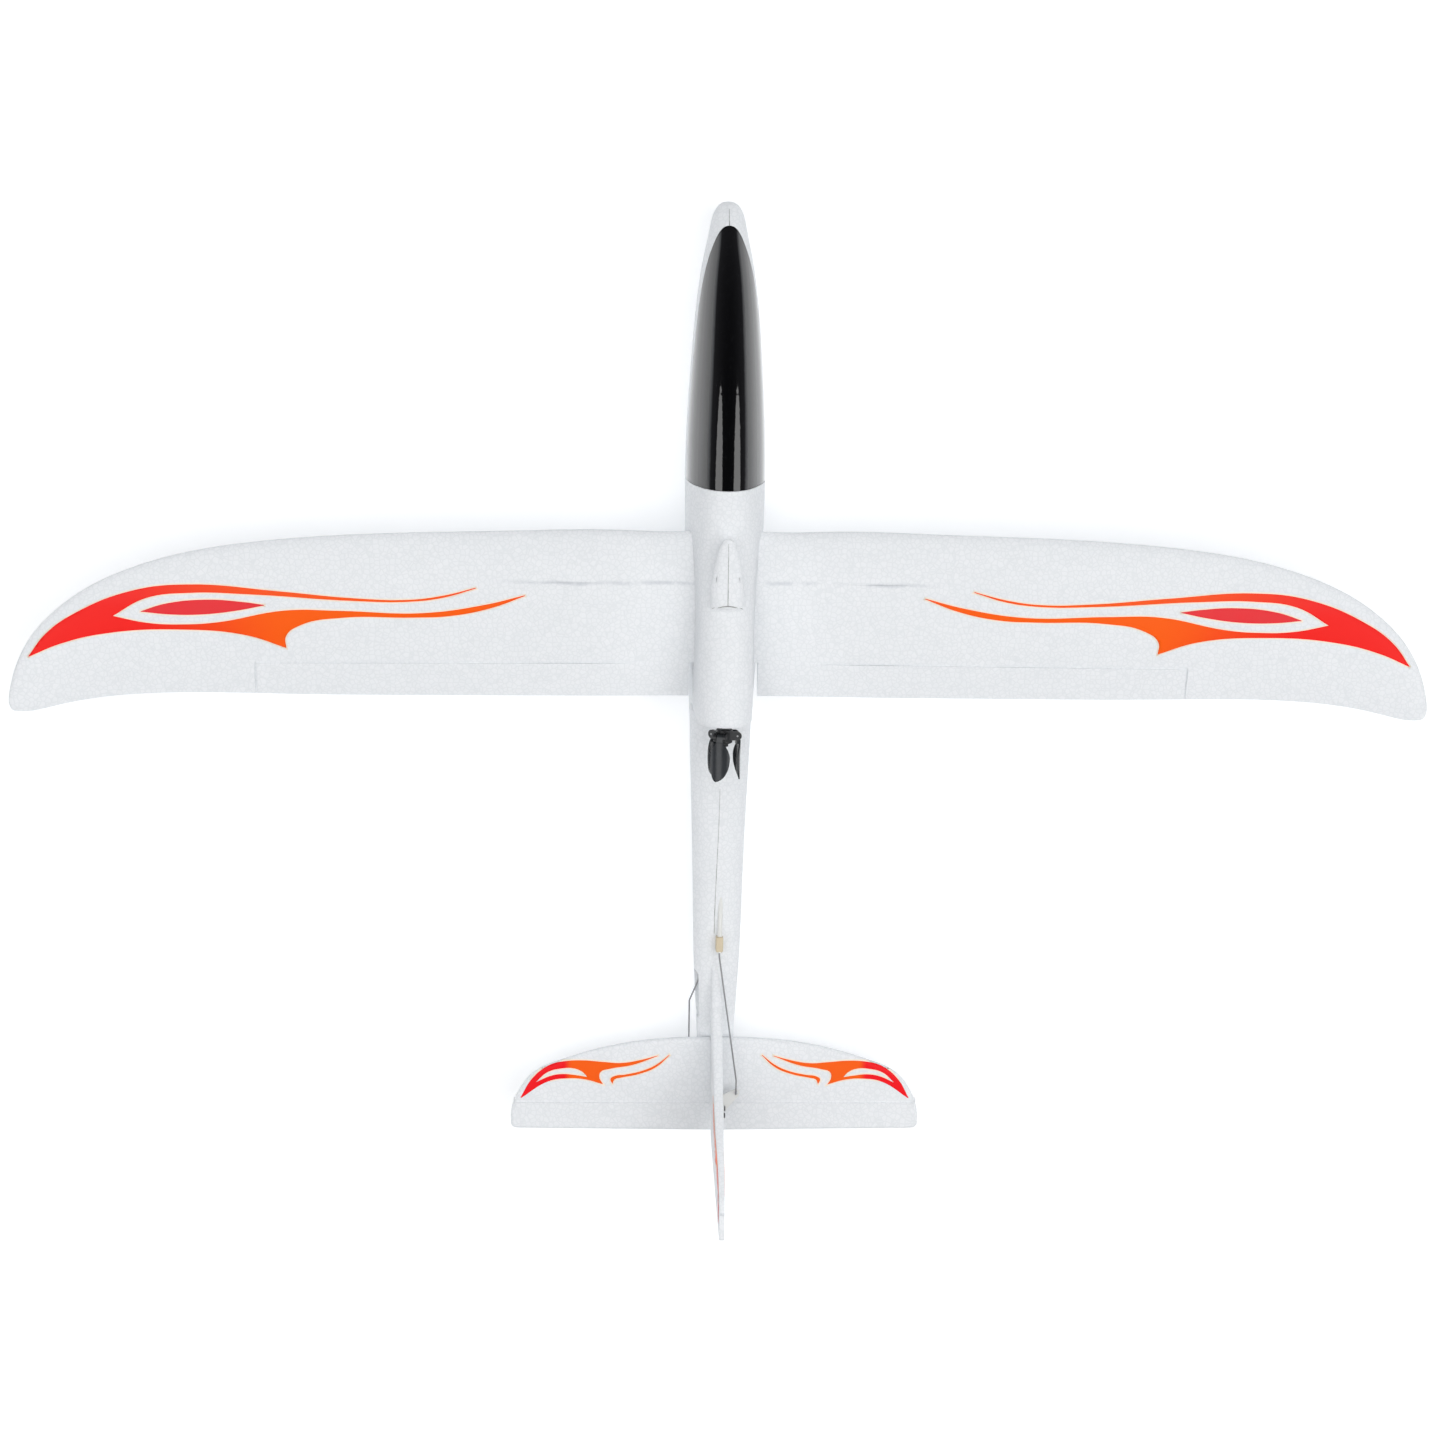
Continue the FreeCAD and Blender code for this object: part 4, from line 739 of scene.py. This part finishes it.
receiver_case = plastic("receiver_case", (0.016, 0.017, 0.019, 1), (0.040, 0.042, 0.046, 1), 0.38)
paint(receiver_case, "receiver")
tape, tape_place = finish("foam_tape", {"Specular IOR Level": 0.1})
pores = tape_place.node("TexVoronoi", None, {"Vector": tape_place, "Scale": 1600.0})
apply_finish(tape, pores.mix((0.20, 0.20, 0.20, 1), (0.34, 0.34, 0.33, 1)),
             0.85 + pores * 0.1, pores, 0.0001)
paint(tape, "receiver_pad")

servo_case = plastic("servo_case", (0.010, 0.045, 0.170, 1), (0.025, 0.080, 0.260, 1), 0.18,
                     900.0, 0.00001, {"Specular IOR Level": 0.55, "Coat Weight": 0.3})
paint(servo_case, "servo_rudder", "servo_elevator")
paint(steel, "servo_screws", "servo_link_rudder", "servo_link_elevator")

ply, ply_place = finish("birch_ply", {"Specular IOR Level": 0.25})
ply_grain = noise(ply_place, 130.0, 5.0, (1, 0.08, 1))
plies = ply_place.node("TexWave", {"bands_direction": "Z"},
                       {"Vector": ply_place, "Scale": 330.0, "Distortion": 0.6})
ply_colour = (ply_grain * 0.65 + plies * 0.35).mix((0.58, 0.39, 0.21, 1), (0.33, 0.19, 0.085, 1))
apply_finish(ply, ply_colour, 0.6 + ply_grain * 0.2, ply_grain, 0.00006)
paint(ply, "servo_tray")

nylon = plastic("white_nylon", (0.72, 0.73, 0.71, 1), (0.80, 0.80, 0.78, 1), 0.36)
paint(nylon, "servo_arm_rudder", "servo_arm_elevator", "guide_tube_rudder", "guide_tube_elevator")

# ---- Canopy ------------------------------------------------------------------------------------
# Gloss black vacuum-formed shell with a former glued in its rear end. Magnets in the former meet
# magnets in the foam deck, and a tongue in front slides under the nose.

gloss, gloss_place = finish("canopy_gloss", {
    "Specular IOR Level": 0.62, "Coat Weight": 1.0, "Coat Roughness": 0.025, "Coat IOR": 1.5,
})
dust = noise(gloss_place, 420.0, 4.0)
smear = noise(gloss_place, 45.0, 3.0, (1, 0.3, 1))
gloss_black = dust.rise(0.55, 0.75).mix((0.0022, 0.0022, 0.0026, 1), (0.0045, 0.0048, 0.0055, 1))
apply_finish(gloss, gloss_black, 0.045 + smear * 0.05, smear, 0.00001)
paint(gloss, "canopy")
paint(black_plastic, "canopy_bulkhead")
magnet_plating = metal("magnet_plating", (0.52, 0.52, 0.54, 1), (0.70, 0.70, 0.72, 1), 0.14)
paint(magnet_plating, "canopy_magnets", "deck_magnets")

# ---- Tailplane and elevator --------------------------------------------------------------------
# One flat foam moulding, screwed down to the boom from below. The elevator is its rear strip and
# bends on a thin web of the same foam.

tail_foam = foam("tail_foam")
paint(tail_foam, "tailplane", "elevator")
paint(steel, "tail_screws")


def hinge_web(name, node, low, high, turned):
    """The foam web of a hinge: a strip that bends between the fixed part and the panel. Low and
    high are its corners in its own plane, where it runs along x and its wall stands along z."""
    web = bmesh.new()
    bmesh.ops.create_grid(web, x_segments=60, y_segments=8, size=0.5)
    bmesh.ops.scale(web, verts=web.verts, vec=(high.x - low.x, high.y - low.y, 1))
    bmesh.ops.translate(web, verts=web.verts, vec=((low.x + high.x) / 2, (low.y + high.y) / 2, 0))
    for vert in web.verts:
        vert.co = turned @ vert.co
    made = add_piece(name, web, None, tail_foam, slot="foam")
    thicken(made, high.z - low.z, side=0.0)
    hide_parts(node)
    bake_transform(made)


HINGE_REACH = 0.00095
WEB_HALF = 0.0019
WEB_PAST_END = 0.0032
web_low, web_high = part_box("elevator_hinge_web")
ELEVATOR_AXIS = Vector((0, -0.2225, 0.036))
flat_web = Matrix.Translation((0, 0, ELEVATOR_AXIS.z))
hinge_web("elevator_web", "elevator_hinge_web",
          Vector((web_low.x - WEB_PAST_END, ELEVATOR_AXIS.y - HINGE_REACH, -WEB_HALF)),
          Vector((web_high.x + WEB_PAST_END, ELEVATOR_AXIS.y + HINGE_REACH, WEB_HALF)),
          flat_web)

# ---- Fin and rudder ----------------------------------------------------------------------------
# An upright foam blade let into the boom, thinning towards its tip. The rudder bends on a web
# along the raked hinge line.

paint(tail_foam, "fin", "rudder")
RUDDER_AXIS = Vector((0, -0.2125, 0.044))
RUDDER_RAKE = Vector((0, -0.4385, 0.8987)).normalized()
rudder_low, rudder_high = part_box("rudder_hinge_web")
along_web = (rudder_high.z - rudder_low.z) / RUDDER_RAKE.z
first_web = (rudder_low.z - RUDDER_AXIS.z) / RUDDER_RAKE.z
across_web = Vector((1, 0, 0)).cross(RUDDER_RAKE)
upright = Matrix((RUDDER_RAKE, -across_web, Vector((1, 0, 0)))).transposed().to_4x4()
hinge_web("rudder_web", "rudder_hinge_web",
          Vector((first_web, -HINGE_REACH, rudder_low.x)),
          Vector((first_web + along_web, HINGE_REACH, rudder_high.x)),
          Matrix.Translation(RUDDER_AXIS) @ upright)

# ---- Tail flames -------------------------------------------------------------------------------
# Smaller stickers of the same kind on top of the tailplane and on both sides of the fin, where
# they run on over the rudder and are slit along the hinge.

TAIL_FLAME = (
    ((107.4, -220.2), (100.9, -209.0), (92.7, -202.3), (83.0, -199.3), (74.0, -198.7), (62.0, -199.6),
     (52.3, -200.2), (42.0, -198.6), (32.0, -195.9)),
    ((32.0, -196.2), (45.9, -201.4), (58.6, -203.7), (63.3, -205.4), (64.0, -208.4), (62.0, -212.5)),
    ((62.0, -212.5), (72.0, -209.7), (81.3, -209.1), (92.0, -210.8), (107.0, -220.4)),
)
TAIL_GAP = (
    ((98.7, -211.0), (92.6, -205.6), (85.2, -203.5), (78.1, -203.4), (73.3, -205.5), (71.0, -208.0)),
    ((71.0, -208.2), (76.5, -207.3), (84.6, -206.6), (91.0, -207.7), (98.7, -211.2)),
)
TAIL_STROKE = (
    ((25.7, -195.5), (32.9, -201.2), (40.0, -204.5), (50.0, -206.9), (55.6, -207.7), (57.9, -209.4),
     (56.9, -212.2)),
    ((56.8, -212.2), (55.6, -209.7), (52.2, -208.7), (43.0, -206.8), (33.0, -202.7), (25.5, -195.8)),
)


def tail_fade(cloud, along):
    """Orange tails, then a red tip, with a short change between them. Along grows to the tip."""
    warm = (along + cloud * 0.0016).rise(0.0795, 0.0845)
    orange = cloud.mix((0.96, 0.110, 0.006, 1), (0.94, 0.130, 0.012, 1))
    return warm.mix(orange, cloud.mix((0.90, 0.006, 0.012, 1), (0.88, 0.014, 0.020, 1)))


FIN_FLAME_TIP = Vector((0, -0.2620, 0.1235))
FIN_FLAME_SCALE = 0.90
TAIL_FLAME_TIP = Vector((107.4, -220.3, 0)) * MM


def fin_reach(place):
    """How far down the fin's flame a point lies, as the same distance on the tailplane's."""
    offset = place.node("VectorMath", {"operation": "SUBTRACT"}, {0: place, 1: FIN_FLAME_TIP})
    run = place.node("VectorMath", {"operation": "DOT_PRODUCT"}, {0: offset, 1: -RUDDER_RAKE}, 1)
    return TAIL_FLAME_TIP.x - run * (1 / FIN_FLAME_SCALE)


tail_ink = ink("tail_flame_ink", lambda place, cloud: tail_fade(cloud, abs(place.part(0))))
fin_ink = ink("fin_flame_ink", lambda place, cloud: tail_fade(cloud, fin_reach(place)))

TAIL_PIECES = [(TAIL_FLAME, TAIL_GAP), (TAIL_STROKE,)]
TAIL_STEP = 0.0011
FIN_STEP = 0.0025
SLIT_HALF = 0.0012
ELEVATOR_SLIT = 0.0010
tail_skin = skin_of("tailplane")
fin_skin = skin_of("fin")
rudder_skin = skin_of("rudder")
# The tailplane's flame turned upright: its length runs down the hinge line, and its front forwards
fin_place = (Matrix.Translation(FIN_FLAME_TIP) @ upright @ Matrix.Scale(FIN_FLAME_SCALE, 4)
             @ Matrix.Translation(-TAIL_FLAME_TIP))
for side, word in ((-1, "left"), (1, "right")):
    mirror = Matrix.Diagonal((side, 1, 1, 1))
    sticker("tail_flame_" + word, "airframe", TAIL_PIECES, tail_ink, mirror, tail_skin, UP, TAIL_STEP,
            [(ELEVATOR_AXIS + Vector((0, ELEVATOR_SLIT, 0)), Vector((0, -1, 0)))])
    for panel, body, skin, beyond in (("fin", "airframe", fin_skin, across_web),
                                      ("rudder", "rudder_panel", rudder_skin, -across_web)):
        sticker(f"{panel}_flame_{word}", body, TAIL_PIECES, fin_ink, fin_place, skin,
                Vector((side, 0, 0)), FIN_STEP, [(RUDDER_AXIS - beyond * SLIT_HALF, beyond)])

# ---- Tail controls -----------------------------------------------------------------------------
# Steel wires run back through nylon guide tubes and out of a moulded sleeve on the boom. They
# hook into nylon horns that are screwed to the elevator and the rudder.

sleeve, sleeve_place = finish("sleeve_plastic", {"Specular IOR Level": 0.4})
sleeve_cloud = noise(sleeve_place, 260.0, 3.0)
apply_finish(sleeve, sleeve_cloud.mix((0.60, 0.50, 0.34, 1), (0.70, 0.61, 0.45, 1)),
             0.42 + sleeve_cloud * 0.15, sleeve_cloud, 0.00002)
paint(sleeve, "exit_sleeve")
paint(nylon, "rudder_horn", "elevator_horn")
paint(steel, "rudder_rod", "elevator_rod", "rudder_horn_screws", "elevator_horn_screws")
